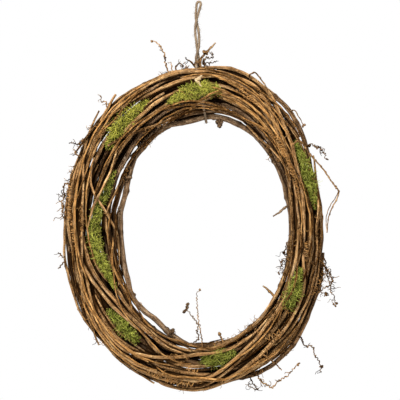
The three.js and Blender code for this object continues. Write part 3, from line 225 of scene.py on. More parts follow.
# The winding plan. Waypoints are [angle, lane, depth]: the angle in degrees, clockwise
# from the top, the lane 0 at the hole and 1 at the outer rim, the depth -1 at the front.
# Canes and shoots are (name, diameter, waypoints), and moss waypoints add a radius.
CANES = [
    ("cane_tan_long", 4.8, [
      [-4, 0.92, -0.2], [8, 0.96, -0.3], [20, 1.03, -0.6], [30, 0.98, -0.9], [36, 0.9, -1], [43, 0.72, -1],
      [51, 0.62, -1], [60, 0.48, -1], [70, 0.41, -1], [80, 0.36, -1], [95, 0.33, -1], [105, 0.42, -1],
      [114, 0.6, -1], [130, 0.65, -1], [147, 0.66, -1], [160, 0.75, -0.95], [170, 0.86, -0.8],
      [180, 0.94, -0.6], [192, 0.96, -0.4], [205, 0.93, -0.4], [217, 0.86, -0.7], [230, 0.9, -0.7],
      [245, 0.87, -0.8], [257, 0.83, -0.9], [267, 0.89, -0.8], [285, 0.93, -0.7], [315, 0.92, -0.6],
      [345, 0.9, -0.7], [360, 0.9, -0.8], [375, 0.9, -0.9], [384, 0.93, -0.9], [390, 0.86, -1],
      [396, 0.72, -1], [402, 0.53, -1], [407, 0.43, -1], [413, 0.33, -1], [425, 0.17, -0.8],
      [435, 0.1, -0.6], [450, 0.07, -0.4], [480, 0.07, -0.4], [510, 0.1, -0.5], [538, 0.2, -0.7],
      [550, 0.26, -0.8], [580, 0.26, -0.9], [600, 0.3, -0.9], [607, 0.37, -0.8], [620, 0.6, -0.7],
      [632, 0.68, -0.9], [645, 0.69, -0.9], [660, 0.64, -0.4]]),
    ("cane_amber_long", 4.4, [
      [-56, 0.76, -0.4], [-38, 0.79, -0.8], [-15, 0.77, -1], [0, 0.8, -1], [10, 0.84, -1], [20, 0.8, -1],
      [30, 0.72, -0.9], [38, 0.63, -0.8], [47, 0.5, -0.8], [55, 0.42, -0.8], [62, 0.36, -0.8],
      [70, 0.29, -0.9], [80, 0.22, -0.9], [95, 0.22, -0.9], [110, 0.25, -0.9], [125, 0.31, -0.9],
      [140, 0.33, -1], [150, 0.38, -1], [160, 0.49, -1], [170, 0.65, -1], [178, 0.79, -0.9],
      [190, 0.77, -0.9], [200, 0.79, -0.9], [212, 0.84, -0.9], [222, 0.88, -0.9], [235, 0.86, -0.9],
      [245, 0.8, -1], [257, 0.77, -1], [270, 0.8, -0.9], [285, 0.84, -0.8], [300, 0.85, -0.8],
      [330, 0.86, -0.8], [355, 0.88, -0.9], [368, 0.86, -0.9], [380, 0.7, -0.9], [390, 0.6, -0.9],
      [400, 0.5, -0.8], [408, 0.38, -0.8], [420, 0.28, -0.9], [432, 0.18, -0.8], [450, 0.14, -0.7],
      [470, 0.14, -0.7], [490, 0.19, -0.8], [510, 0.25, -0.8], [525, 0.3, -0.7], [540, 0.3, -1],
      [550, 0.38, -1], [556, 0.45, -1], [562, 0.54, -1], [568, 0.65, -1], [576, 0.77, -1], [585, 0.82, -1],
      [597, 0.8, -0.9], [612, 0.73, -0.9], [625, 0.77, -0.8], [645, 0.76, -0.9], [660, 0.7, -0.6]]),
    ("cane_dark_outer", 6.0, [
      [8, 0.95, 0.1], [20, 0.97, -0.1], [32, 1.0, -0.1], [42, 1.01, -0.1], [52, 0.97, -0.2],
      [62, 0.82, -0.2], [72, 0.72, -0.1], [85, 0.68, 0], [97, 0.76, 0], [107, 0.95, -0.1], [120, 0.98, 0],
      [129, 1.07, 0], [140, 1.1, 0], [150, 1.06, -0.1], [160, 0.95, -0.3], [170, 0.88, -0.4],
      [182, 0.89, -0.3], [195, 0.94, -0.1], [210, 0.98, 0], [225, 0.95, -0.1], [240, 0.97, 0],
      [252, 0.93, 0.2], [270, 0.92, 0.3], [300, 0.95, 0.2], [330, 0.93, 0.2], [360, 0.9, 0.3],
      [380, 0.94, 0.5], [400, 0.85, 0.6], [420, 0.75, 0.8]]),
    ("cane_grey_inner", 7.2, [
      [183, 0.18, -0.3], [193, 0.14, -0.2], [203, 0.09, -0.1], [215, 0.05, -0.1], [225, 0.09, -0.3],
      [233, 0.13, -0.5], [241, 0.1, -0.4], [250, 0.05, -0.2], [262, 0.03, -0.1], [276, 0.04, -0.1],
      [290, 0.03, -0.1], [300, 0.07, -0.2], [312, 0.13, -0.3], [325, 0.14, -0.4], [335, 0.11, -0.4],
      [346, 0.04, -0.2], [356, 0.05, -0.2], [366, 0.09, -0.3], [378, 0.1, -0.3], [395, 0.1, -0.3],
      [410, 0.1, -0.3], [425, 0.08, -0.2], [440, 0.08, -0.1], [460, 0.08, 0], [480, 0.1, 0],
      [505, 0.12, 0.1], [525, 0.14, 0.2]]),
    ("cane_grey_second", 6.4, [
      [222, 0.2, -0.5], [238, 0.18, -0.5], [255, 0.17, -0.5], [270, 0.22, -0.6], [282, 0.25, -0.7],
      [292, 0.24, -0.7], [305, 0.23, -0.7], [320, 0.25, -0.8], [333, 0.3, -0.9], [345, 0.33, -0.9],
      [357, 0.32, -0.8], [367, 0.33, -0.7], [377, 0.34, -0.9], [387, 0.32, -0.9], [397, 0.27, -0.9],
      [408, 0.2, -0.8], [420, 0.14, -0.6], [440, 0.17, -0.2], [460, 0.2, 0.1], [490, 0.25, 0.3],
      [520, 0.25, 0.4]]),
    ("cane_brown_middle", 5.4, [
      [268, 0.3, -0.5], [290, 0.32, -0.7], [300, 0.34, -0.8], [310, 0.37, -0.9], [322, 0.38, -0.9],
      [336, 0.41, -0.8], [347, 0.45, -0.7], [360, 0.5, -0.4], [370, 0.47, -0.6], [380, 0.42, -0.9],
      [390, 0.4, -0.9], [400, 0.34, -0.8], [412, 0.27, -0.6], [430, 0.35, -0.5], [445, 0.45, -0.5],
      [460, 0.5, -0.5], [475, 0.5, -0.3], [490, 0.5, -0.3], [500, 0.5, -0.6], [510, 0.5, -0.8],
      [520, 0.6, -0.8], [530, 0.72, -0.8], [540, 0.7, -0.7], [552, 0.66, -0.8], [570, 0.68, -0.8],
      [585, 0.73, -0.9], [597, 0.7, -0.8], [610, 0.6, -0.5]]),
    ("cane_tan_middle", 4.8, [
      [278, 0.44, -0.7], [292, 0.43, -0.9], [300, 0.44, -1], [307, 0.47, -1], [315, 0.49, -1],
      [325, 0.48, -1], [335, 0.51, -1], [346, 0.56, -0.7], [358, 0.62, -0.4], [370, 0.58, -0.8],
      [380, 0.55, -0.9], [390, 0.5, -0.9], [400, 0.43, -0.9], [410, 0.4, -0.7], [422, 0.55, -0.4],
      [435, 0.62, -0.4], [450, 0.6, -0.7], [465, 0.66, -0.8], [475, 0.72, -0.8], [485, 0.76, -0.7],
      [497, 0.83, -0.7], [510, 0.84, -0.8], [522, 0.88, -0.7], [535, 0.93, -0.5], [550, 0.88, -0.7],
      [565, 0.92, -0.5], [580, 0.92, -0.5], [595, 0.93, -0.5], [610, 0.9, -0.6], [630, 0.88, -0.7]]),
    ("cane_brown_bottom", 5.0, [
      [38, 0.8, -0.6], [46, 0.78, -0.6], [56, 0.75, -0.3], [68, 0.7, -0.3], [80, 0.68, -0.5],
      [95, 0.7, -0.6], [108, 0.8, -0.7], [120, 0.84, -0.7], [133, 0.91, -0.6], [147, 0.93, -0.5],
      [158, 0.86, -0.7], [168, 0.78, -0.8], [178, 0.7, -0.8], [190, 0.7, -0.9], [200, 0.7, -0.8],
      [212, 0.68, -0.8], [225, 0.7, -0.7], [238, 0.66, -0.6], [247, 0.62, -0.9], [256, 0.63, -1],
      [264, 0.7, -1], [274, 0.74, -0.9], [290, 0.76, -0.9], [303, 0.77, -0.9], [315, 0.8, -0.6],
      [330, 0.79, -0.5]]),
    ("cane_tan_left", 4.4, [
      [171, 0.48, -0.3], [186, 0.53, -0.9], [197, 0.56, -0.8], [206, 0.5, -0.8], [214, 0.37, -0.9],
      [222, 0.37, -1], [230, 0.42, -1], [237, 0.49, -1], [245, 0.56, -1], [252, 0.66, -1], [260, 0.72, -1],
      [270, 0.75, -0.9], [285, 0.8, -0.9], [300, 0.89, -0.8], [308, 0.88, -0.8], [315, 0.94, -0.6],
      [321, 1.01, -0.4], [326, 1.08, -0.3]]),
    ("cane_umber_left", 4.8, [
      [189, 0.36, -0.8], [200, 0.34, -0.8], [210, 0.31, -0.9], [220, 0.32, -0.9], [230, 0.36, -1],
      [238, 0.42, -1], [246, 0.51, -1], [254, 0.6, -1], [262, 0.66, -1], [272, 0.7, -1], [285, 0.73, -0.9],
      [296, 0.7, -0.8], [305, 0.7, -0.7], [318, 0.66, -0.2], [335, 0.68, -0.3], [350, 0.72, -0.6],
      [362, 0.7, -0.5], [374, 0.69, -0.9], [384, 0.64, -1], [392, 0.55, -0.9], [400, 0.48, -0.7],
      [410, 0.5, -0.5], [425, 0.62, -0.2], [440, 0.62, -0.6], [455, 0.6, -0.8], [468, 0.6, -0.6],
      [480, 0.75, -0.3]]),
    ("cane_thin_rim", 3.4, [
      [196, 0.97, -0.2], [206, 0.94, -0.3], [216, 0.95, -0.2], [228, 0.98, -0.3], [240, 1.03, -0.2],
      [248, 0.99, -0.4], [258, 1.02, -0.3], [266, 0.97, -0.5], [280, 0.97, -0.4], [300, 0.97, -0.3],
      [318, 0.98, -0.3], [330, 0.95, -0.3], [345, 0.89, -0.4], [362, 0.93, -0.5], [374, 0.96, -0.6],
      [384, 1.0, -0.6], [398, 0.93, -0.5]]),
    ("cane_dark_left", 6.2, [
      [198, 0.5, -0.3], [216, 0.6, -0.35], [236, 0.62, -0.4], [255, 0.52, -0.4], [275, 0.58, -0.4],
      [295, 0.6, -0.35], [315, 0.55, -0.3], [335, 0.46, -0.3]]),
    ("cane_dark_upper", 5.6, [
      [255, 0.34, -0.3], [280, 0.42, -0.5], [300, 0.5, -0.4], [318, 0.38, -0.35], [332, 0.24, -0.2],
      [345, 0.17, -0.1], [360, 0.18, -0.1], [378, 0.26, -0.1], [400, 0.34, -0.1]]),
]
SHOOTS = [
    ("shoot_cross_down", 3.0, [
      [252, 0.12, -0.8], [262, 0.08, -0.8], [271, 0.12, -1], [276, 0.22, -1.1], [281, 0.4, -1.2],
      [286, 0.56, -1.2], [292, 0.68, -1.1], [298, 0.72, -1]]),
    ("shoot_cross_up", 3.0, [
      [262, 0.68, -1], [271, 0.62, -1.1], [277, 0.56, -1.2], [283, 0.49, -1.3], [289, 0.44, -1.2],
      [296, 0.4, -1.1], [303, 0.42, -1.1], [309, 0.46, -1.1]]),
    ("shoot_brown_cross", 4.0, [
      [299, 0.67, -0.7], [307, 0.58, -1], [313, 0.46, -1.2], [320, 0.35, -1.2], [327, 0.26, -1.1],
      [336, 0.21, -1], [346, 0.22, -1], [354, 0.3, -1.1], [361, 0.41, -1.3], [369, 0.56, -1.4],
      [376, 0.66, -1.2]]),
    ("shoot_cut_top", 4.2, [
      [310, 0.56, -0.4], [318, 0.54, -0.6], [327, 0.56, -0.9], [336, 0.61, -1.1], [345, 0.67, -1.2]]),
    ("shoot_right_pair", 3.2, [
      [72, 0.55, -0.6], [82, 0.54, -1], [95, 0.51, -1], [105, 0.48, -0.8], [116, 0.4, -0.3]]),
    ("shoot_bottom_thin", 3.6, [
      [158, 0.56, -0.7], [168, 0.58, -0.5], [178, 0.6, -0.8], [190, 0.6, -1], [202, 0.61, -1],
      [212, 0.6, -0.9], [224, 0.66, -1], [236, 0.68, -0.9], [248, 0.72, -0.8]]),
    ("shoot_right_steep", 3.4, [
      [27, 0.95, -1], [33, 0.84, -1.2], [38, 0.7, -1.2], [45, 0.53, -1.2], [53, 0.42, -1.2],
      [63, 0.26, -1.2], [75, 0.13, -1.1], [90, 0.1, -0.9], [105, 0.13, -0.9], [120, 0.1, -0.6]]),
    ("shoot_right_outer", 3.2, [
      [62, 0.88, -0.6], [70, 0.76, -0.9], [80, 0.68, -1.1], [92, 0.6, -1.1], [104, 0.7, -1],
      [118, 0.77, -0.9], [132, 0.8, -0.9], [146, 0.74, -0.6]]),
    ("shoot_right_inner", 3.0, [
      [26, 0.24, -0.8], [38, 0.2, -0.9], [50, 0.28, -1.1], [61, 0.35, -1.2], [75, 0.3, -1.1],
      [88, 0.28, -1.2], [101, 0.33, -1.1], [118, 0.28, -0.7]]),
    ("shoot_top_right", 3.0, [
      [12, 0.7, -1], [20, 0.62, -1.2], [28, 0.5, -1.2], [36, 0.36, -1.2], [46, 0.26, -1], [58, 0.16, -0.7]]),
    ("shoot_bottom_steep", 3.4, [
      [144, 0.44, -1], [156, 0.52, -1.2], [166, 0.7, -1.2], [174, 0.85, -1.1], [182, 0.94, -0.7],
      [196, 0.97, -0.5]]),
    ("shoot_bottom_rise", 3.2, [
      [186, 0.46, -1], [195, 0.46, -1.2], [204, 0.6, -1.2], [213, 0.76, -1.1], [225, 0.86, -0.9],
      [238, 0.94, -0.7], [252, 0.95, -0.5], [264, 0.93, -0.4]]),
    ("shoot_left_bow", 3.2, [
      [224, 0.99, -0.7], [236, 0.86, -1.1], [248, 0.76, -1.2], [260, 0.64, -1.2], [272, 0.62, -1.2],
      [284, 0.66, -1.1], [296, 0.8, -1.1], [306, 0.93, -0.8], [316, 1.03, -0.4]]),
    ("shoot_left_inner", 3.2, [
      [240, 0.3, -0.8], [250, 0.18, -0.9], [262, 0.22, -0.9], [276, 0.3, -1], [290, 0.2, -0.8],
      [304, 0.17, -0.7], [318, 0.14, -0.4]]),
    ("shoot_top_left", 3.4, [
      [292, 0.96, -0.6], [304, 0.88, -1], [316, 0.8, -1.2], [328, 0.73, -1.2], [340, 0.76, -1.2],
      [350, 0.86, -0.9], [358, 0.95, -0.4]]),
]
HIDDEN_CANES = [
    ["core_outer", 9.0, 20, 1.9, 0.68, 0.05, 0.1, 0.25, 0],
    ["core_inner", 9.0, 200, 1.9, 0.4, 0.05, 0.1, 0.25, 120],
    ["back_inner", 7.0, 60, 1.95, 0.27, 0.85, 0.17, 0.12, 40],
    ["back_low", 6.4, 130, 1.95, 0.38, 1.0, 0.16, 0.1, 170],
    ["back_high", 6.2, 250, 1.95, 0.58, 1.0, 0.18, 0.1, 290],
    ["back_outer", 6.8, 320, 1.95, 0.78, 0.85, 0.12, 0.12, 80],
    ["back_rim", 5.4, 95, 1.35, 0.86, 0.55, 0.1, 0.2, 357],
]
MOSS = [
    ("moss_top", [
      [-21, 0.44, -0.9, 3], [-14, 0.52, -1, 5], [-5, 0.56, -1, 6.5], [3, 0.6, -1, 8], [9, 0.6, -1, 7.5],
      [12, 0.62, -1, 4]]),
    ("moss_top_left", [
      [-56, 0.58, -1, 3], [-50, 0.64, -1, 5], [-42, 0.64, -1, 5.5], [-33, 0.62, -1, 5],
      [-26, 0.6, -0.9, 3]]),
    ("moss_right_upper", [
      [53, 0.72, -0.9, 3], [58, 0.7, -1, 5], [65, 0.68, -1, 5], [72, 0.66, -1, 6.5], [82, 0.66, -0.9, 3]]),
    ("moss_right_lower", [
      [107, 0.38, -1, 3.5], [113, 0.42, -1, 5.5], [119, 0.44, -1, 8], [124, 0.44, -1, 9],
      [127, 0.44, -1, 9]]),
    ("moss_bottom", [
      [162, 0.4, -0.9, 5], [167, 0.4, -0.9, 7], [173, 0.44, -0.9, 8.5], [179, 0.43, -0.9, 7],
      [183, 0.37, -1, 3.5]]),
    ("moss_left_lower", [
      [213, 0.52, -1, 5], [219, 0.52, -1, 6.5], [226, 0.53, -1, 6.5], [233, 0.57, -1, 5],
      [237, 0.64, -1, 2.5]]),
    ("moss_left", [
      [243, 0.3, -1, 2.5], [249, 0.33, -1, 4], [256, 0.41, -1, 5.5], [263, 0.47, -1, 7], [270, 0.49, -1, 7],
      [277, 0.46, -1, 5.5], [284, 0.38, -1, 5], [291, 0.33, -1, 3.5], [297, 0.33, -1, 2.5]]),
]
SIDE_SHOOTS = [
    # Above the top, left of the twine: a tall tendril with a bud, then arches and curls.
    (1.7, [
      [-40.7, -7, -80], [-42, -6, -74], [-43, -6, -68], [-44, -5, -62.5], [-46.5, -5, -58.5], [-49, -5, -54],
      [-52.5, -4, -50.5], [-58.5, -4, -47.5]]),
    (1.3, [[-34.5, -7, -82], [-33.5, -6, -79], [-35.5, -5, -75.5], [-39, -5, -75]]),
    (1.8, [[-29, -9, -81], [-26.5, -9, -77.5], [-23.5, -8, -76], [-20.5, -8, -79.5]]),
    (2.2, [[-6, -7, -79.5], [-9.5, -8, -74.5], [-15, -8, -71.5], [-16.5, -8, -70]]),
    # Right of the twine: a jointed stub, a coiled tendril under it and a wisp.
    (3.0, [[2, -3, -71], [9, -3, -62.5], [21, -3, -50]]),
    (1.2, [
      [6, -6, -72], [9.5, -6, -69], [14, -6, -69.5], [17.5, -5, -67.5], [16, -5, -63.5], [12, -4, -62.5]]),
    (1.2, [[9, -6, -76], [17.5, -5, -75], [24, -4, -72.5]]),
    # Upper right: a bent twig and a curly tendril past the end of the outer cane.
    (1.9, [[64, -12, -90], [70, -12, -88], [78, -10, -97], [86, -10, -110]]),
    (1.5, [[119, -13, -135], [127, -12, -147], [131, -10, -154]]),
    (1.3, [
      [141, -13, -178], [145.5, -13, -180], [147, -13, -182.5], [149.5, -13, -180.5], [153, -12, -184],
      [152.5, -12, -187], [157, -11, -188.5], [158.5, -11, -196.5]]),
    # Right: a long thin stem that stands off the rim, turns at a joint and comes back.
    (1.9, [
      [125.5, -24, -174], [133, -24, -183], [140.5, -23, -193], [155.5, -18, -209.5], [164, -15, -222],
      [175, -11, -236], [172, -10, -246], [166.5, -10, -256], [161.5, -11, -270], [160, -12, -288]]),
    # Right rim: a tangle of tendrils with withered buds.
    (1.5, [
      [156, -12, -320], [158, -12, -324.5], [156.5, -12, -328], [161.5, -12, -336], [166.5, -11, -347],
      [165, -10, -353], [155.5, -10, -357], [152.5, -10, -361], [159, -10, -365]]),
    (1.4, [
      [156.5, -12, -330], [164, -9, -355], [165, -8, -362], [168.5, -8, -367], [170.5, -8, -377]]),
    # Right edge of the hole: two stubs and a curly tendril between them.
    (2.8, [[108, -6, -256], [101, -7, -262], [93, -8, -267]]),
    (1.2, [
      [110, -12, -300], [108, -13, -307], [106, -13, -314], [109, -12, -318], [103, -12, -323],
      [104, -11, -328], [101, -10, -332], [100, -10, -338]]),
    (3.0, [[94, -4, -367], [87, -5, -360], [80, -6, -354]]),
    # Short straight sticks that cross the front, at the right and at the lower right.
    (2.0, [[132, -25, -313], [138, -27.5, -322], [145, -27, -332]]),
    (2.0, [[79, -24, -438.5], [89, -22, -446], [96.5, -20, -452], [103, -18, -459]]),
    # Lower right: a wavy shoot at the rim and a looping one under the bottom.
    (1.5, [
      [128, -14, -420], [130, -14, -426], [135.5, -13, -430], [139, -13, -428], [144, -12, -434],
      [143.5, -12, -438.5], [149, -11, -447], [152.5, -10, -456], [150.5, -9, -463.5]]),
    (1.5, [
      [73, -12, -466], [79, -12, -474.5], [83, -12, -476.5], [91.5, -11, -481], [96.5, -11, -475],
      [102.5, -11, -471], [110, -12, -466.5], [118, -12, -457.5], [124, -11, -451.5]]),
    (1.3, [[66, -9, -474], [74, -8, -484], [69, -8, -482.5], [58, -7, -477]]),
    # Bottom of the hole: a forked tendril with withered buds, and a stub beside it.
    (1.5, [
      [0, -8, -419.5], [-2.5, -8, -412], [-1, -8, -404], [-5, -8, -397], [-10.5, -7, -389.5],
      [-13.5, -7, -385.6], [-19, -7, -384.8]]),
    (1.2, [
      [3, -9, -418], [0, -9, -400], [-1.5, -9, -390], [-2.5, -9, -373], [-2.5, -9, -363.5],
      [1, -9, -359.5]]),
    (2.2, [[29, -8, -422], [27.5, -8, -418.5], [25, -8, -413.5]]),
    # Knots of the innermost cane: stumps of branches that were cut off.
    (6.4, [[-83, -6, -367], [-80, -6, -363.5]]),
    (5.6, [[-34, -6, -412], [-31.5, -6, -407.5]]),
    (3.4, [[-37, -7, -414], [-40, -8, -416.5]]),
    (5.6, [[26, -4, -149], [26.5, -4, -157]]),
    # Left rim: curls, a cut stub and a fork.
    (1.3, [
      [-115.5, -8, -130], [-116, -8, -125], [-118, -8, -123.5], [-121.5, -8, -124], [-123, -8, -116.5]]),
    (1.3, [
      [-139.5, -8, -171], [-144, -8, -170.5], [-148, -8, -174.5], [-152, -8, -177.5], [-159, -8, -174.5]]),
    (1.5, [[-150, -8, -192], [-154, -8, -188], [-157, -8, -183]]),
    (1.5, [
      [-167, -8, -226], [-169.5, -8, -233], [-168, -8, -241], [-171.5, -8, -250], [-170, -8, -258],
      [-172, -8, -264], [-168, -8, -271]]),
    (1.7, [[-168, -9, -324], [-176, -9, -333]]),
    (1.5, [[-170, -10, -318], [-176, -9, -312]]),
]
# The hanging loop: half the sides' distance, their turn, height and middle.
HANGER = [
    [1.9, 20, -70.3, -1.9], [1.75, 70, -63, -1.8], [1.75, 130, -55.5, -1.5],
    [1.8, 175, -47.5, -1.6], [2.3, 185, -40.5, -2.2], [2.0, 190, -34, -2.8],
    [1.75, 235, -27, -3.2], [1.75, 295, -19, -3.2], [1.8, 340, -11.5, -2.1],
    [2.4, 358, -5.5, -0.9], [2.6, 360, -1.6, -0.3],
    [2.25, 360, -0.1, -0.1], [1.3, 360, 1, 0],
]
# The ends of the tie, twisted on from the loop's foot down to the canes: rows like the loop's.
TIE_ENDS = [
    [1.9, 20, -70.7, -1.9], [2.1, 0, -73.5, -1.7], [2.6, -25, -77.5, -1.4], [2.8, -50, -81, -1.3],
    [3.0, -75, -84.5, -1.3],
]
TIE_END_PAIRS = (0, 80)  # turn of each pair of ends

# How light the bark of a cane is, from 0 to 1; the others draw theirs at random.
TINTS = {
    "cane_tan_long": 0.62, "cane_amber_long": 0.72, "cane_dark_outer": 0.5, "cane_grey_inner": 0.6,
    "cane_grey_second": 0.42, "cane_brown_middle": 0.5, "cane_tan_middle": 0.6,
    "cane_brown_bottom": 0.42, "cane_tan_left": 0.7, "cane_umber_left": 0.5, "cane_thin_rim": 0.55,
    "shoot_cut_top": 0.75, "shoot_cross_up": 0.75, "shoot_cross_down": 0.75,
}
MOSS_HOLE = 0.42  # a tuft has no fibres where its noise is above this
# How a tuft thins out along its length, its fibres' reach, and how far they lean aside.
MOSS_HABITS = {
    "moss_left": (2.0, 0.6, 0), "moss_top": (1, 0.75, 0.2), "moss_right_upper": (1, 0.72, 0),
    "moss_top_left": (1, 1.3, 0), "moss_right_lower": (1, 0.72, 0), "moss_left_lower": (1, 0.72, 0),
    "moss_bottom": (1, 0.8, 0),
}
YELLOW_MOSS = {"moss_top": 0.66, "moss_top_left": 0.8, "moss_left": 0.3}

# Buds: the side shoot's place in its list, how far along it, radius and number of lumps,
# and how far right and up of it they sit.
BUDS = [
    (0, 1.0, 1.6, 3), (0, 0.45, 1.4, 2), (2, 1.0, 1.2, 2), (3, 1.0, 1.1, 1), (4, 0.2, 1.8, 2),
    (4, 0.55, 2.7, 4), (7, 0.0, 1.8, 2), (27, 0.8, 4.3, 1), (27, 0.5, 4.0, 1, -1.5, 0),
    (27, 0.5, 3.6, 1, 1.5, 1), (8, 1.0, 1.7, 3), (9, 1.0, 1.3, 2), (10, 0.6, 1.6, 3), (10, 0.04, 1.6, 2),
    (11, 0.35, 1.5, 2), (11, 1.0, 1.7, 4), (12, 1.0, 1.9, 3), (14, 1.0, 1.4, 3), (14, 0.4, 1.0, 2),
    (18, 1.0, 1.2, 2), (18, 0.9, 1.8, 2), (19, 1.0, 1.4, 4), (21, 1.0, 2.1, 4), (21, 1.0, 2.3, 6, 4.5, 4.5),
    (22, 1.0, 1.3, 2), (13, 1.0, 1.3, 1), (23, 1.0, 2.0, 4), (29, 1.0, 0.9, 2),
]

# Knobbly joints of canes: angle, size and number of lumps.
KNOTS = {"cane_grey_inner": [
    (281, 3.2, 3), (296.8, 4.6, 5), (303, 3.0, 2), (309, 2.6, 2), (316, 3.2, 3), (321, 2.4, 2),
    (330, 3.2, 3), (334, 3.0, 3), (340, 2.4, 2),
]}
SHARP_JOINTS = {10: 6}  # point at which a side shoot turns sharply
COILED = {4: (0.1, 12), 5: (1.3, 2.7), 8: (0.2, 12), 9: (1.2, 3.0)}  # radius and pitch
TWIN_STEMS = {10: 0.6}  # a second stem starts this far along the shoot
TWIN_BOW = 3.4
TWIN_THICK = 0.3
TANGLES = {  # number and length of the curls on a side shoot
    0: (4, 5), 2: (5, 7), 3: (4, 7), 5: (3, 3), 6: (4, 6), 9: (5, 6), 11: (18, 12), 12: (12, 11),
    14: (13, 14), 16: (6, 12), 18: (4, 7), 19: (8, 9), 20: (8, 11), 21: (4, 5), 28: (4, 6),
    29: (6, 8), 30: (5, 8), 31: (26, 12), 33: (3, 6),
}

# Thin vines that are placed: diameter, tint, [angle, lane] waypoints and lift. The back
# ones have no tint of their own.
FRONT_VINES = [
    (2.6, 0.8, [[5, 0.62], [20, 0.56], [35, 0.5], [50, 0.42], [62, 0.35]]),
    (2.3, 0.7, [[8, 0.52], [25, 0.45], [45, 0.36], [60, 0.3]]),
    (2.1, 0.9, [[12, 0.45], [30, 0.4], [42, 0.33], [55, 0.27]]),
    (2.6, 0.6, [[352, 0.8], [365, 0.84], [380, 0.74], [396, 0.62], [408, 0.55]]),
    (2.4, 0.8, [[200, 0.78], [212, 0.84], [224, 0.86], [236, 0.84], [250, 0.86]]),
    (2.2, 0.9, [[196, 0.6], [210, 0.7], [224, 0.76], [240, 0.8], [252, 0.78]]),
    (2.4, 0.6, [[204, 0.9], [216, 0.93], [230, 0.93], [246, 0.9]]),
    (2.2, 0.8, [[248, 0.7], [262, 0.76], [278, 0.82], [292, 0.86]]),
    (2.0, 0.9, [[255, 0.5], [270, 0.58], [285, 0.66], [300, 0.72]]),
    (2.2, 0.7, [[300, 0.8], [312, 0.84], [325, 0.86], [338, 0.82]]),
    (2.0, 0.9, [[52, 0.3], [65, 0.33], [80, 0.3], [95, 0.27]]),
    (2.2, 0.8, [[70, 0.45], [85, 0.5], [100, 0.55], [112, 0.5]]),
    (2.2, 0.7, [[128, 0.3], [145, 0.42], [160, 0.5], [172, 0.66]]),
    (2.2, 0.45, [[4, 0.9], [18, 0.86], [32, 0.8], [48, 0.76]]),
    (2.0, 0.55, [[10, 0.8], [24, 0.78], [38, 0.7], [54, 0.62]]),
    (2.2, 0.4, [[0, 0.94], [14, 0.93], [28, 0.9], [44, 0.92], [60, 0.9]]),
    (2.0, 0.6, [[16, 0.66], [30, 0.62], [44, 0.55], [60, 0.46]]),
    (2.9, 0.5, [[349, 0.16], [354.5, 0.27], [358, 0.34], [361.5, 0.41], [364.5, 0.48], [368, 0.54],
                [371.5, 0.6]], 5),
]
BACK_VINES = [
    (3.6, [[16, 0.92], [22, 0.9], [30, 0.88], [40, 0.9]]),
    (4.4, [[114, 0.9], [119, 0.93], [124, 0.97], [129, 1.0], [133, 1.02], [139, 1.0], [146, 0.9]]),
    (3.8, [[140, 0.34], [144, 0.32], [150, 0.27], [157, 0.22], [166, 0.16], [176, 0.12], [188, 0.12]]),
    (3.4, [[138, 0.26], [150, 0.2], [162, 0.14], [174, 0.1]]),
    (3.2, [[236, 0.14], [255, 0.15], [270, 0.15], [284, 0.14]]),
    (3.2, [[238, 0.08], [254, 0.1], [266, 0.08], [280, 0.1]]),
    (3.8, [[308, 0.2], [314, 0.17], [322, 0.2], [327, 0.17], [336, 0.14]]),
    (3.2, [[314, 0.84], [322, 0.86], [330, 0.86], [338, 0.82]]),
    (3.4, [[290, 0.68], [300, 0.76], [307, 0.84], [318, 0.9]]),
    (3.0, [[348, 0.74], [360, 0.76], [370, 0.72]]),
    (3.0, [[200, 0.9], [212, 0.92], [224, 0.9], [240, 0.94]]),
    (4.0, [[328, 0.5], [338, 0.56], [345, 0.54], [352, 0.5]]),
    (4.2, [[344, 0.68], [352, 0.74], [360, 0.74], [368, 0.75], [376, 0.68]]),
    (3.8, [[276, 0.54], [284, 0.53], [292, 0.54], [300, 0.58]]),
    (4.0, [[298, 0.7], [304, 0.72], [310, 0.68], [316, 0.64]]),
    (3.8, [[150, 0.31], [156, 0.28], [160, 0.255], [164, 0.23], [170, 0.2], [175, 0.19], [182, 0.15],
           [190, 0.13]]),
    (3.4, [[126, 0.98], [132, 1.02], [137, 1.035], [142, 1.04], [146, 1.0]]),
    (3.8, [[326, 0.5], [333, 0.51], [340, 0.53], [346, 0.52]]),
    (3.6, [[386, 0.26], [392, 0.235], [398, 0.22], [404, 0.2], [410, 0.2]]),
    (3.6, [[13, 0.84], [19, 0.87], [25, 0.865], [31, 0.88], [37, 0.86]]),
    (4.2, [[3, 0.74], [9, 0.77], [15, 0.755], [20, 0.73], [27, 0.68]]),
    (3.8, [[330, 0.48], [337, 0.51], [343, 0.51], [350, 0.48]]),
    (3.6, [[345, 0.67], [351, 0.71], [356, 0.71], [362, 0.67]]),
    (4.0, [[242, 0.58], [249, 0.62], [256, 0.595], [263, 0.6], [270, 0.6], [277, 0.56]]),
    (4.0, [[228, 0.54], [233, 0.56], [238, 0.58], [244, 0.55]]),
    (4.2, [[226, 0.34], [231, 0.35], [235, 0.36], [239, 0.36], [246, 0.32]]),
    (3.6, [[162, 0.22], [169, 0.26], [175, 0.27], [181, 0.27], [187, 0.25]]),
    (3.6, [[165, 0.55], [171, 0.57], [176, 0.47], [182, 0.4], [189, 0.4]]),
    (3.6, [[328, 0.7], [333, 0.735], [338, 0.71], [344, 0.68]]),
    (4.0, [[308, 0.26], [314, 0.245], [320, 0.235], [326, 0.215], [333, 0.2]]),
    (3.8, [[16, 0.29], [21, 0.26], [26, 0.22], [33, 0.205], [39, 0.21], [44, 0.24], [50, 0.28]]),
]

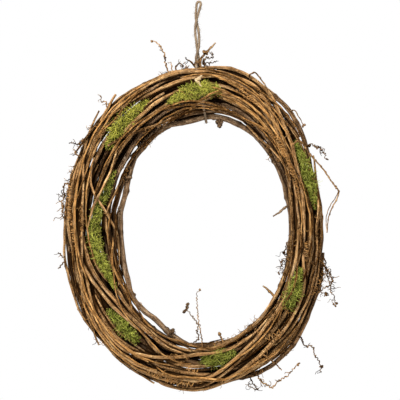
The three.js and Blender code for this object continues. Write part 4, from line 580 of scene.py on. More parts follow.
# Clumps of curls: angle, lane, depth, number, spread and length of a curl.
CURLS = [
    (284, 1.1, -10, 26, 8, 9), (292, 1.1, -10, 18, 6, 8), (277, 1.03, -10, 14, 6, 7),
    (301, 1.08, -8, 10, 4, 7), (307, 1.06, -8, 10, 4, 7), (100, -0.05, -10, 16, 6, 9),
    (106, -0.08, -10, 14, 6, 9), (94, -0.03, -10, 10, 6, 8), (114, -0.1, -8, 12, 4, 7),
    (150, -0.03, -8, 14, 6, 7), (170, -0.03, -8, 12, 8, 6), (160, 0, -8, 10, 8, 6),
    (108, 1.06, -12, 22, 5, 11), (112, 1.12, -12, 16, 5, 10), (104, 1.03, -12, 14, 5, 9),
    (137, 1.1, -12, 14, 5, 9), (153, 1.12, -10, 14, 5, 9), (356, 1.06, -10, 16, 5, 8),
    (4, 1.12, -8, 16, 5, 8), (345, 1.05, -8, 10, 5, 7), (140, 0.6, -40, 24, 8, 9), (132, 0.4, -40, 18, 7, 9),
    (190, 0.55, -40, 20, 8, 8), (195, 0.9, -40, 20, 9, 8), (278, 0.88, -40, 16, 5, 8),
    (270, 0.8, -40, 14, 5, 8), (56, 0.34, -40, 18, 6, 8), (66, 0.3, -40, 18, 6, 8),
    (90, 0.45, -40, 12, 6, 8), (212, 1.03, -10, 12, 6, 6), (225, 1.03, -10, 12, 6, 6),
    (236, 1.02, -10, 10, 6, 6), (322, 0.1, -12, 12, 5, 6), (319, -0.03, -9, 16, 4, 6),
    (326, 0.0, -9, 8, 4, 5), (48, -0.03, -10, 12, 4, 7), (202, -0.02, -8, 8, 4, 6),
    (185, 1.02, -10, 10, 6, 6),
]

# Coiled tendrils: first and last angle, first and last lane, and the coil's radius.
COILS = [
    (181, 192, 0.62, 0.5, 2.6), (182, 204, 0.88, 0.88, 2.4), (44, 60, 0.42, 0.33, 2.2),
    (60, 76, 0.33, 0.28, 2.2), (274, 286, 0.88, 0.95, 2.6), (262, 273, 0.78, 0.84, 2.4),
    (136, 144, 0.62, 0.5, 2.6), (96, 104, 0.4, 0.5, 2.0), (20, 30, 0.75, 0.62, 2.0),
]
COIL_LIFT = 3.2
COIL_DRAPED = 0.6  # radius that it is draped with, and its pitch, against its own radius
COIL_PITCH = 1.75
COIL_AROUND = 5
CHIP = (358.6, 0.73)  # angle and lane
CHIP_RADIUS = 4.5  # radius that its root is draped with
CHIP_AROUND = 6
CHIP_FLAT = 0.9
CHIP_BARE = 0.8
OPEN_PAINTED_SHADE = 0.05  # level of painted shade for what lies open on the front
CHIP_WIDTHS = [0.3, 0.6, 0.8, 0.75, 0.85, 0.6, 0.2]
CHIP_SLIVERS = [(36, -0.5, 11.5), (8, 0.5, 7), (-24, -1.2, 7.5), (-47, 0.8, 12.5)]  # lean, start, length

# Slot of a cane by the start of its name; the others are tan. The hidden core and back canes
# take the dark bark as painted shade, for they lie deep in the bundle.
FINISH = {"cane_dark": "bark_dark", "core": "bark_dark", "back": "bark_dark", "cane_grey": "bark_grey"}


# Places in the hoop


def oval(degrees, width, height, right, below):
    """Points of an upright oval: its centre plus half width times sine and half height
    times cosine of the angle."""
    t = np.radians(degrees)
    x = -CENTRE_LEFT_OF_HOOK + right + width / 2 * np.sin(t)
    z = -HOOK_ABOVE_CENTRE - below + height / 2 * np.cos(t)
    return np.stack([x, z], -1)


def band_edges(degrees):
    """The points of the hole's oval and of the wreath's outer oval at some angles."""
    inner = oval(degrees, HOLE_WIDTH, HOLE_HEIGHT, HOLE_RIGHT_OF_CENTRE, HOLE_BELOW_CENTRE)
    return inner, oval(degrees, WREATH_WIDTH, WREATH_HEIGHT, 0, 0)


def band_width(degrees):
    """The distance between the two ovals' points at each angle."""
    inner, outer = band_edges(degrees)
    return np.linalg.norm(outer - inner, axis=-1)


def place_in_band(degrees, u, v):
    """The point u outwards from the hole's edge along the line to the outer oval's point
    at the same angle, at depth v."""
    inner, outer = band_edges(degrees)
    outwards = (outer - inner) / np.linalg.norm(outer - inner, axis=-1, keepdims=True)
    flat = inner + outwards * np.asarray(u)[..., None]
    return np.stack([flat[..., 0], np.broadcast_to(v, flat.shape[:-1]), flat[..., 1]], -1)


def through(xs, ys, x):
    """Smooth values through waypoints: a cubic between each two, whose slope at a
    waypoint is that of the chord between its neighbours."""
    xs, ys = np.asarray(xs, float), np.asarray(ys, float)
    before = np.maximum(np.arange(len(xs)) - 1, 0)
    after = np.minimum(np.arange(len(xs)) + 1, len(xs) - 1)
    slope = (ys[after] - ys[before]) / (xs[after] - xs[before])[:, None]
    i = np.clip(np.searchsorted(xs, x) - 1, 0, len(xs) - 2)
    run = (xs[i + 1] - xs[i])[:, None]
    s = np.clip((x - xs[i])[:, None] / run, 0, 1)
    return (
        (2 * s**3 - 3 * s**2 + 1) * ys[i]
        + (s**3 - 2 * s**2 + s) * run * slope[i]
        + (3 * s**2 - 2 * s**3) * ys[i + 1]
        + (s**3 - s**2) * run * slope[i + 1]
    )


# The winding: where every strand lies once all of them are pushed clear


def hidden_way(first, turns, lane, depth, lane_swing, depth_swing, phase):
    """Waypoints of a core or back cane: lane and depth swing as slow sines round a level."""
    a = np.arange(0, turns * 360 + 1e-9, STEP * 2)
    at = first + a
    return np.stack([
        at,
        lane + lane_swing * np.sin(np.radians(at * LANE_WAVES + phase))
        + (a / 360 - turns / 2) * LANE_DRIFT,
        depth + depth_swing * np.cos(np.radians(at * DEPTH_WAVES + phase)),
    ], -1)


def sampled(name, diameter, way):
    """A strand's stations: its number in the winding, distance out, depth and radius."""
    way = np.asarray(way, float)
    k = np.arange(math.ceil(way[0, 0] / STEP - 1e-6), math.floor(way[-1, 0] / STEP + 1e-6) + 1)
    lane, depth = through(way[:, 0], way[:, 1:3], k * STEP).T
    u = lane * band_width(k * STEP)
    across = np.minimum(np.abs(2 * lane - 1), WIDEST)
    v = depth * BAND_DEPTH / 2 * np.sqrt(1 - across**2)
    if diameter:
        radius = np.full(len(k), diameter / 2)
    else:
        radius = np.maximum(np.interp(k * STEP, way[:, 0], way[:, 3]), LEAST_MOSS)
    radius[[0, -1]] *= END_TAPER
    return {"name": name, "k": k, "u": u, "v": v, "radius": radius}


def stretches(strands):
    """Each strand's stretches as (slot, sample at its start, sample at its end). Past its
    ends a strand keeps one more stretch of room, so that none meets its end."""
    rows, first = [], 0
    for strand in strands:
        k, i = strand["k"], first + np.arange(len(strand["k"]))
        rows.append(np.stack([np.append(k[0] - 1, k), np.append(i[0], i), np.append(i, i[-1])]))
        first += len(k)
    slot, start, end = np.concatenate(rows, 1)
    return slot % STATIONS, start, end


def neighbour_pairs(slot):
    """Every two stretches that run side by side in the same slot."""
    pairs = []
    for k in range(STATIONS):
        here = np.flatnonzero(slot == k)
        i, j = np.triu_indices(len(here), 1)
        pairs.append(np.stack([here[i], here[j]]))
    return np.concatenate(pairs, 1)


def settle(strands):
    """Moves the strands apart until none touch. Each round pushes every pair that comes
    too near, evens the moves out along each strand and lets it spring back a little."""
    counts = [len(s["k"]) for s in strands]
    last = np.cumsum(counts) - 1
    first = last - counts + 1
    place = np.stack([np.concatenate([s[key] for s in strands]) for key in "uv"], -1)
    radius = np.concatenate([s["radius"] for s in strands])
    over = np.repeat([s["name"] in OVER_TIE for s in strands], counts)
    moss = np.repeat([s["name"].startswith("moss") for s in strands], counts)
    loose = np.repeat([s["name"].startswith(("moss", "shoot")) for s in strands], counts)
    top = np.concatenate([s["k"] for s in strands]) % STATIONS == 0
    plan = place.copy()
    slot, start, end = stretches(strands)
    a, b = neighbour_pairs(slot)
    at = np.arange(STATIONS + 1) * STEP
    middle = place_in_band(at, band_width(at) / 2, 0)
    run = 2 * np.linalg.norm(np.diff(middle, axis=0), axis=-1)[slot[a], None]
    a0, a1, b0, b1 = start[a], end[a], start[b], end[b]
    near0, near1 = radius[a0] + radius[b0], radius[a1] + radius[b1]
    soft = moss[a0] | moss[b0]
    share_a = np.where(moss[a0] == moss[b0], 0.5, np.where(moss[a0], 1 - MOSS_YIELDS, MOSS_YIELDS))
    side = np.sign(plan[a0, 1] - plan[b0, 1])
    side = np.stack([0 * side, np.where(side == 0, 1, side)], -1)
    index = np.arange(len(place))
    before, after = np.maximum(index - 1, 0), np.minimum(index + 1, len(place) - 1)
    before[first], after[last] = first, last
    front = TIE_FRONT - TWINE_DIAMETER - TIE_GAP - radius
    for turn in range(ROUNDS):
        lean = place[a1] - place[a0] + place[b1] - place[b0]
        lean = run / np.hypot(run, lean)
        begin = (place[a0] - place[b0]) * lean
        way = (place[a1] - place[b1]) * lean - begin
        along = np.clip(-(begin * way).sum(-1) / ((way**2).sum(-1) + 1e-9), 0, 1)
        off = begin + along[:, None] * way
        far = np.hypot(off[:, 0], off[:, 1])
        need = np.where(soft, near0 + (near1 - near0) * along + MOSS_GAP,
                        np.maximum(near0, near1) + CANE_GAP)
        hit = np.flatnonzero(far < need)
        met = far[hit, None] <= 0.01
        normal = np.where(met, side[hit], off[hit] / np.maximum(far[hit, None], 1e-9))
        t = along[hit]
        force = (need[hit] - far[hit]) / ((1 - t) ** 2 + t**2)
        push = np.zeros_like(place)
        for sample, amount in ((a0, share_a[hit] * (1 - t)), (a1, share_a[hit] * t),
                               (b0, (share_a[hit] - 1) * (1 - t)), (b1, (share_a[hit] - 1) * t)):
            for axis in (0, 1):
                push[:, axis] += np.bincount(
                    sample[hit], force * amount * normal[:, axis], len(place))
        v = place[:, 1]
        push[:, 1] += np.where(top & over, np.minimum(0, front - v), 0)
        push[:, 1] += np.where(top & ~over, np.maximum(0, TIE_FRONT + radius - v), 0)
        push[:, 1] += np.where(loose, PRESS, 0)
        place = place + PUSH * push
        moved = place - plan
        even = (moved[before] + moved[after]) / 2 - moved
        firmness = FIRM_AT_FIRST + (FIRM_AT_LAST - FIRM_AT_FIRST) * turn / ROUNDS
        spring = SPRING * max(0, 1 - turn / (SPRING_ENDS * ROUNDS))
        place = place + firmness * even - spring * moved
    for strand, i, j in zip(strands, first, last):
        strand["u"], strand["v"] = place[i:j + 1].T


def settled_strands():
    """All strands at their settled places, each checked against the box of its solid."""
    rows = CANES + SHOOTS
    rows += [(row[0], row[1], hidden_way(*row[2:])) for row in HIDDEN_CANES]
    rows += [(name, None, way) for name, way in MOSS]
    strands = [sampled(*row) for row in rows]
    settle(strands)
    for strand in strands:
        strand["points"] = place_in_band(strand["k"] * STEP, strand["u"], strand["v"])
        low, high = (np.array(corner) * 1000 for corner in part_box(strand["name"]))
        inside = (strand["points"] >= low - BOX_SLACK) & (strand["points"] <= high + BOX_SLACK)
        if not inside.all():
            raise RuntimeError(strand["name"] + " has left the solid that it stands for")
    return strands


STRANDS = settled_strands()


def tie_route():
    """The knot's centre, and the tie's corners: where the lines that just clear every bound
    cane on one side and on the next cross each other."""
    rows = [(s["u"][i], s["v"][i], s["radius"][i]) for s in STRANDS if s["name"] not in OVER_TIE
            for i in np.flatnonzero(s["k"] % STATIONS == 0)]
    u, v, radius = np.array(rows).T
    step = TURN / TIE_CORNERS
    turn = step * np.arange(TIE_CORNERS)
    clear = np.max(np.outer(np.cos(turn), u) + np.outer(np.sin(turn), v) + radius, axis=1)
    clear = clear + TWINE_DIAMETER / 2 + TIE_GAP
    aside = (np.roll(clear, -1) - clear * math.cos(step)) / math.sin(step)
    ring = place_in_band(np.zeros(TIE_CORNERS), clear * np.cos(turn) - aside * np.sin(turn),
                         clear * np.sin(turn) + aside * np.cos(turn))[:-1]
    knot = place_in_band(0, clear[0] + KNOT_SITS, 0) + (KNOT_RIGHT, 0, 0)
    return knot, np.vstack([knot + TIE_END, ring, knot - TIE_END])


KNOT, TIE_ROUTE = tie_route()


# What lies where, at every fine station round the hoop


def fine_station(degrees):
    """The number of the fine station under an angle: the angle over the fine step."""
    return (np.asarray(degrees) / STEP * FINE).astype(int)


def angle_of(station):
    """The angle of a fine station: its number times the fine step."""
    return station * STEP / FINE


def strand_at(strand, k):
    """Distance out, depth and radius of a strand at stations k."""
    places = np.stack([strand["u"], strand["v"], strand["radius"]], -1)
    return through(strand["k"], places, k)


def wound_table():
    """All strands that pass each fine station, as (distance out, depth, radius, owner,
    fine station along the strand). Unused places in the table lie far away."""
    rows = []
    for number, strand in enumerate(STRANDS):
        k = np.arange(strand["k"][0] * FINE, strand["k"][-1] * FINE + 1)
        along = np.stack([np.full(len(k), number), k], -1)
        rows.append(np.concatenate([strand_at(strand, k / FINE), along], -1))
    rows = np.concatenate(rows)
    slot = rows[:, 4].astype(int) % FINE_TURN
    order = np.argsort(slot, kind="stable")
    rows, slot = rows[order], slot[order]
    count = np.bincount(slot, minlength=FINE_TURN)
    column = np.arange(len(rows)) - (np.cumsum(count) - count)[slot]
    table = np.full((FINE_TURN, count.max(), 5), FAR_AWAY)
    table[slot, column] = rows
    return table


WOUND = wound_table()


def painted_shade_on(number, k, u, v, radii, table):
    """How shut in each point of a strand's skin is, which the bark shows as painted shade in the
    gaps between strands. It is one minus a product: of one minus the share of the sky that each
    other strand's round section takes, and of a value that falls with the least depth under the
    bundle's front, back, outer or inner surface."""
    around = radii.shape[1]
    angle = TURN * np.arange(around) / around
    out = np.stack([-np.cos(angle), np.sin(angle)], -1)
    skin = (np.stack([u, v], -1)[:, None] + radii[..., None] * out)[:, :, None]
    station = np.rint(k * FINE).astype(int)
    rows = table[station % FINE_TURN]
    own = (rows[..., 3] == number) & (np.abs(rows[..., 4] - station[:, None]) < FINE)
    place, size = rows[:, None, :, :2], rows[:, None, :, 2]
    way = place - skin
    far = np.maximum(np.linalg.norm(way, axis=-1), 1e-3)
    faces = (way * out[None, :, None]).sum(-1) / far
    share = np.clip(np.where(own[:, None], 0, size) / far, 0, 1)
    share = share * np.clip(faces + HORIZON, 0, 1 + HORIZON) / (1 + HORIZON)
    share = share * np.exp(-np.maximum(far - size, 0) / PAINTED_SHADE_REACH)
    least = np.full(share.shape[:2], FAR_AWAY)
    for axis, side in ((0, 1), (0, -1), (1, 1), (1, -1)):
        beside = (np.abs(way[..., 1 - axis]) < PAINTED_SHADE_REACH) & (size < FAR_AWAY)
        top = np.where(beside, side * way[..., axis] + size, 0).max(-1)
        least = np.minimum(least, top)
    open_sky = np.prod(1 - SKY_SHARE * share, axis=-1)
    return 1 - open_sky * np.exp(-np.maximum(least - 1, 0) / PAINTED_SHADE_DEPTH)


# Shapes


def noise_along(s, seed, wave, amount):
    """Smooth wandering with distance: three sines of unlike lengths, added."""
    rng = np.random.default_rng(seed)
    total = 0
    for factor in WAVE_FACTORS:
        total = total + factor * np.sin(TURN * s / (wave * factor) + rng.uniform(0, TURN))
    return amount * total / 1.5


def unit(vectors):
    """Vectors divided by their own lengths."""
    return vectors / np.maximum(np.linalg.norm(vectors, axis=-1, keepdims=True), TINY)


def arc_length(points):
    """The running length at each point: the sum of the straight steps before it."""
    return np.concatenate([[0], np.cumsum(np.linalg.norm(np.diff(points, axis=0), axis=-1))])


def frames_along(points):
    """Two unit vectors across a path at each point: the way to the back crossed with the
    direction, and that crossed with the direction again."""
    along = unit(np.gradient(points, axis=0))
    side = unit(np.cross((0.0, 1.0, 0.0), along))
    return along, side, np.cross(side, along)


def turning_frames(points):
    """Frames that turn as little as they can: the first is carried from point to point
    and made square to each new direction."""
    along = unit(np.gradient(points, axis=0))
    side = np.empty_like(points)
    guess = np.cross(along[0], (0.3, 0.5, 0.8))
    for i, direction in enumerate(along):
        guess = guess - direction * guess.dot(direction)
        guess /= np.linalg.norm(guess)
        side[i] = guess
    return along, side, np.cross(side, along)


def helix(line, side, front, wide, turn):
    """The line plus wide times (side times cosine plus front times sine) of the turn."""
    return line + wide[:, None] * (side * np.cos(turn)[:, None] + front * np.sin(turn)[:, None])


def ring_faces(rings, around):
    """Quads between neighbouring rings, facing outwards."""
    i, j = np.meshgrid(np.arange(rings - 1), np.arange(around), indexing="ij")
    n = (j + 1) % around
    above = (i + 1) * around
    return np.stack([i * around + j, i * around + n, above + n, above + j], -1).reshape(-1, 4)


class Shell:
    """Collects the vertices, faces and vertex values of one piece."""

    def __init__(self):
        self.points, self.quads, self.tris = [], [], []
        self.grain, self.look, self.painted_shade = [], [], []
        self.count = 0

    def add(self, points, quads=(), tris=(), grain=None, look=None, painted_shade=0.0):
        """Adds points with their values, and faces whose numbers are counted on."""
        points = points.reshape(-1, 3)
        self.points.append(points)
        if len(quads):
            self.quads.append(np.asarray(quads) + self.count)
        if len(tris):
            self.tris.append(np.asarray(tris) + self.count)
        self.grain.append(points if grain is None else grain.reshape(-1, 3))
        self.look.append(np.zeros((len(points), 3)) if look is None else look.reshape(-1, 3))
        self.painted_shade.append(np.broadcast_to(np.asarray(painted_shade, float).ravel(), len(points)))
        self.count += len(points)

    def mesh_object(self, name, material):
        """One mesh of all that was added, in metres, with its values as attributes."""
        quads = np.concatenate(self.quads) if self.quads else np.zeros((0, 4), int)
        tris = np.concatenate(self.tris) if self.tris else np.zeros((0, 3), int)
        mesh = bpy.data.meshes.new(name)
        mesh.vertices.add(self.count)
        mesh.vertices.foreach_set("co", np.concatenate(self.points).ravel() / 1000)
        corners = np.concatenate([quads.ravel(), tris.ravel()])
        sizes = np.concatenate([np.full(len(quads), 4), np.full(len(tris), 3)])
        mesh.loops.add(len(corners))
        mesh.loops.foreach_set("vertex_index", corners.astype(np.int32))
        mesh.polygons.add(len(sizes))
        starts = np.concatenate([[0], np.cumsum(sizes)[:-1]])
        mesh.polygons.foreach_set("loop_start", starts.astype(np.int32))
        mesh.polygons.foreach_set("use_smooth", np.ones(len(sizes), bool))
        for key, rows in (("grain", self.grain), ("look", self.look)):
            values = mesh.attributes.new(key, "FLOAT_VECTOR", "POINT")
            values.data.foreach_set("vector", np.concatenate(rows).ravel())
        # painted shade of each vertex: how shut in it is
        values = mesh.attributes.new("painted_shade", "FLOAT", "POINT")
        values.data.foreach_set("value", np.concatenate(self.painted_shade))
        mesh.update(calc_edges=True)
        if mesh.validate():
            raise RuntimeError(name + " has faulty faces")
        mesh.materials.append(material)
        piece = bpy.data.objects.new(name, mesh)
        bpy.context.scene.collection.objects.link(piece)
        return piece


def add_tube(shell, points, radii, around, tint=0.0, frames=None, twist=0.0, cut=True, painted_shade=0.0):
    """A closed tube: rings across the path, each point at the path plus radius times
    (side times cosine plus front times sine), with a flat end of triangles at each end.
    radii is one number a ring, or one a ring point. It returns the skin's vertex values:
    tint, bare wood and node."""
    _, side, front = frames or frames_along(points)
    rings = len(points)
    s = arc_length(points)
    angle = TURN * np.arange(around) / around
    radii = np.broadcast_to(np.asarray(radii, float).reshape(rings, -1), (rings, around))
    out = side[:, None] * np.cos(angle)[None, :, None] - front[:, None] * np.sin(angle)[None, :, None]
    skin = points[:, None] + out * radii[..., None]
    mean = radii.mean(1)
    winding = angle + twist * s[:, None]
    grain = np.stack([
        np.broadcast_to(s[:, None], (rings, around)),
        mean[:, None] * np.cos(winding),
        mean[:, None] * np.sin(winding),
    ], -1)
    look = np.zeros((rings, around, 3))
    look[..., 0] = tint
    shell.add(skin, ring_faces(rings, around), (), grain, look, painted_shade)
    for ring, order in ((0, (0, 2, 1)), (rings - 1, (0, 1, 2))):
        rim = skin[ring]
        j = np.arange(around)
        fan = np.stack([np.zeros(around, int), 1 + j, 1 + (j + 1) % around], -1)[:, order]
        ends = np.concatenate([rim.mean(0, keepdims=True), rim])
        shell.add(ends, (), fan, None, np.tile([tint, float(cut), 0.0], (around + 1, 1)))
    return look


def curled(root, heading, length, axis, rate, steps):
    """Paths of many fibres at once. Each sets out along its heading, which turns about the
    fibre's axis by its rate at every step, and the path is the running sum of the steps."""
    angle = (rate[:, None] * np.arange(steps - 1))[..., None]
    lying = (axis * heading).sum(-1, keepdims=True) * axis
    across = heading - lying
    way = lying[:, None] + across[:, None] * np.cos(angle) + np.cross(axis, across)[:, None] * np.sin(angle)
    step = way * (length / (steps - 1))[:, None, None]
    return np.concatenate([root[:, None], root[:, None] + np.cumsum(step, 1)], 1)


def random_ways(rng, count):
    """Unit vectors in random directions: three normal draws over their length."""
    return unit(rng.normal(0, 1, (count, 3)))


def add_fibres(shell, path, radius, look, painted_shade=0.0):
    """Three-sided tubes along many paths at once, closed by a triangle at each end. Each
    side vector is the direction crossed with one vector for the whole fibre."""
    count, steps = path.shape[:2]
    along = unit(np.gradient(path, axis=1))
    steady = np.cross(path[:, -1] - path[:, 0], random_ways(np.random.default_rng(count), count))
    one = unit(np.cross(along, steady[:, None]))
    two = np.cross(along, one)
    angle = (TURN * np.arange(3) / 3)[:, None]
    rings = path[:, :, None] + radius[..., None, None] * (
        one[:, :, None] * np.cos(angle) + two[:, :, None] * np.sin(angle))
    first = (np.arange(count) * steps * 3)[:, None, None]
    last = (steps - 1) * 3
    quads = (ring_faces(steps, 3)[None] + first).reshape(-1, 4)
    caps = (np.array([[0, 2, 1], [last, last + 1, last + 2]])[None] + first).reshape(-1, 3)
    look = np.broadcast_to(look[:, :, None], (count, steps, 3, 3))
    shell.add(rings, quads, caps, None, look, painted_shade)


def add_curls(shell, rng, root, heading, length, tint, habit):
    """Curls, each a small helix of its own, from the ranges of their habit. Without a heading
    they set out any way."""
    steps, lengths, bends, radii, tip, tints, painted_shade = habit
    count = len(root)
    long = length * rng.uniform(*lengths, count)
    rate = long / (steps - 1) / rng.uniform(*bends, count) * rng.choice([-1, 1], count)
    if heading is None:
        heading = random_ways(rng, count)
    path = curled(root, heading, long, random_ways(rng, count), rate, steps)
    radius = rng.uniform(*radii, count)[:, None] * np.linspace(1.1, tip, steps)
    look = np.zeros((count, steps, 3))
    look[..., 0] = tint + rng.uniform(*tints, count)[:, None]
    add_fibres(shell, path, radius, look, painted_shade)


def add_lump(shell, centre, size, rng, tint):
    """A bud: a short tube in some direction whose radius is that of a rough ball."""
    way = random_ways(rng, 1)[0]
    rings = around = 7
    share = np.linspace(-0.97, 0.97, rings)
    radii = np.sqrt(1 - share**2)[:, None] * rng.uniform(0.7, 1.2, (rings, around))
    line = centre + way * (share * size * 1.3)[:, None]
    add_tube(shell, line, size * radii, around, tint, turning_frames(line), cut=False)


def cane_skin(s, around, radius, seed, node_gap, node_swell, ridge):
    """The bark's radius over distance and angle: the cane's radius, a bell-shaped swelling
    and a bud at every node, and long ridges that wind slowly round."""
    rng = np.random.default_rng(seed)
    angle = TURN * np.arange(around) / around
    skin = np.ones((len(s), around))
    nodes = np.cumsum(rng.uniform(0.65, 1.35, int(s[-1] / node_gap) + 2)) * node_gap
    nodes = nodes[nodes < s[-1] - 4] - node_gap * 0.4
    mask = np.zeros(len(s))
    for node in nodes:
        bell = np.exp(-(((s - node) / NODE_LENGTH) ** 2))
        bud_at = rng.uniform(0, TURN)
        bud = np.exp(-(((s - node - BUD_AHEAD) / BUD_LENGTH) ** 2))[:, None]
        facing = np.maximum(0, np.cos(angle - bud_at))[None] ** 6
        skin += (node_swell * bell)[:, None] + BUD_SWELL * node_swell / NODE_SWELL * bud * facing
        mask = np.maximum(mask, bell)
    for waves in BARK_RIDGES:
        phase, turns = rng.uniform(0, TURN), rng.uniform(-1, 1) * TURN / 160
        height = ridge * rng.uniform(0.5, 1.0) * (1 + 0.6 * np.sin(s / rng.uniform(9, 17) + phase))
        skin += height[:, None] * np.cos(waves * angle[None] + (turns * s)[:, None] + phase)
    lumps = noise_along(s, seed + 1, 23, ridge * 1.2)
    return radius[:, None] * (skin + lumps[:, None]), mask


# Side shoots: rooted and bent as the solids' own are


def all_segments():
    """Start, end, radius and owner of every straight stretch; the tie's owner is -1."""
    rows = []
    for number, strand in enumerate(STRANDS):
        radius = np.maximum(strand["radius"][:-1], strand["radius"][1:])
        rows.append((strand["points"], radius, number))
    rows.append((TIE_ROUTE, np.full(len(TIE_ROUTE) - 1, TWINE_DIAMETER / 2), -1))
    starts = np.concatenate([points[:-1] for points, _, _ in rows])
    ends = np.concatenate([points[1:] for points, _, _ in rows])
    thick = np.concatenate([radius for _, radius, _ in rows])
    owner = np.concatenate([np.full(len(radius), number) for _, radius, number in rows])
    return starts, ends, thick, owner


SEGMENTS = all_segments()


def nearest_on_segments(point, chosen=slice(None)):
    """The foot of the point on each segment: the start plus the clamped share along."""
    start, way = SEGMENTS[0][chosen], SEGMENTS[1][chosen] - SEGMENTS[0][chosen]
    share = ((point - start) * way).sum(-1) / (way**2).sum(-1)
    return start + np.clip(share, 0, 1)[..., None] * way


def root_near(point):
    """The cane whose surface is nearest to a point, and the foot on its middle line."""
    _, _, thick, owner = SEGMENTS
    feet = nearest_on_segments(point)
    far = np.linalg.norm(feet - point, axis=-1) - thick
    rootable = np.array([not s["name"].startswith("moss") for s in STRANDS] + [False])
    best = np.argmin(np.where(rootable[owner], far, np.inf))
    return owner[best], feet[best]


def bend_clear(points, radius, own):
    """Moves each point after the root away from every strand that it comes too near, one
    strand after another."""
    _, _, thick, owner = SEGMENTS
    points = points.copy()
    for _ in range(BEND_ROUNDS):
        for i in range(1, len(points)):
            need = thick + radius + SHOOT_GAP
            far = np.linalg.norm(points[i] - nearest_on_segments(points[i]), axis=-1)
            near = (far < need + 1) & ((owner != own) | (i >= ROOT_POINTS))
            for j in np.flatnonzero(near):
                away = points[i] - nearest_on_segments(points[i], j)
                short = need[j] - np.linalg.norm(away)
                if short > 0:
                    points[i] += BEND * short * away / np.linalg.norm(away)
    return points


def spline(points, steps):
    """A smooth line through points: the cubic of through() on the running length."""
    s = arc_length(points)
    return through(s, points, np.linspace(0, s[-1], steps))


def straight(at, s, points):
    """Points at some running lengths along the straight lines between points."""
    return np.stack([np.interp(at, s, points[:, axis]) for axis in range(3)], -1)


def shoot_paths():
    """Every side shoot as (name of the cane that it grows from, thickness, its line)."""
    shoots = []
    for thick, way in SIDE_SHOOTS:
        own, foot = root_near(np.array(way[0], float))
        line = bend_clear(np.vstack([[foot], np.array(way, float)]), thick / 2, own)
        shoots.append((STRANDS[own]["name"], thick, line))
    return shoots


def add_shoot(shell, line, thick, seed, tint, joint=None, coil=(CRINKLE, CRINKLE_PITCH)):
    """A side shoot: a tube that tapers to its tip, with a small swelling every few
    millimetres, and a sharp bend at its joint if it has one. A thin one winds as a helix
    of the coil's radius and pitch, which widens from its root."""
    rng = np.random.default_rng(seed)
    length = arc_length(line)[-1]
    thin = thick < TENDRIL_THICK
    path = spline(line, max(int(length / (coil[1] / 8 if thin else 1.1)), 12))
    if joint:
        before, after = line[:joint + 1], line[joint:]
        path = np.vstack([spline(part, int(arc_length(part)[-1])) for part in (before, after)])
        path = np.delete(path, int(arc_length(before)[-1]), 0)
    s = arc_length(path)
    _, side, front = frames_along(path)
    path = path + noise_along(s, seed, 9, 0.25)[:, None] * side
    if thin:
        widens, varies = (4, 0.2) if coil[0] > CRINKLE else (14, 0.5)
        wide = coil[0] * np.clip(s / widens, 0, 1) * (1 + varies * noise_along(s, seed + 1, 19, 1.0))
        turn = TURN * (s + noise_along(s, seed + 2, 17, 1.6)) / coil[1]
        path = helix(path, side, front, wide, turn)
    taper = np.interp(s / s[-1], [0, 0.7, 1], [0.56, 0.44, 0.28])
    joints = np.cumsum(rng.uniform(6, 13, int(s[-1] / 6) + 1))
    joints = joints[joints < s[-1] - 1]
    swell = sum((0.45 * np.exp(-(((s - j) / 1.1) ** 2)) for j in joints), np.zeros(len(s)))
    add_tube(shell, path, thick * taper * (1 + swell), SHOOT_AROUND, tint, turning_frames(path),
             painted_shade=SHOOT_PAINTED_SHADE)
    return path


# Materials


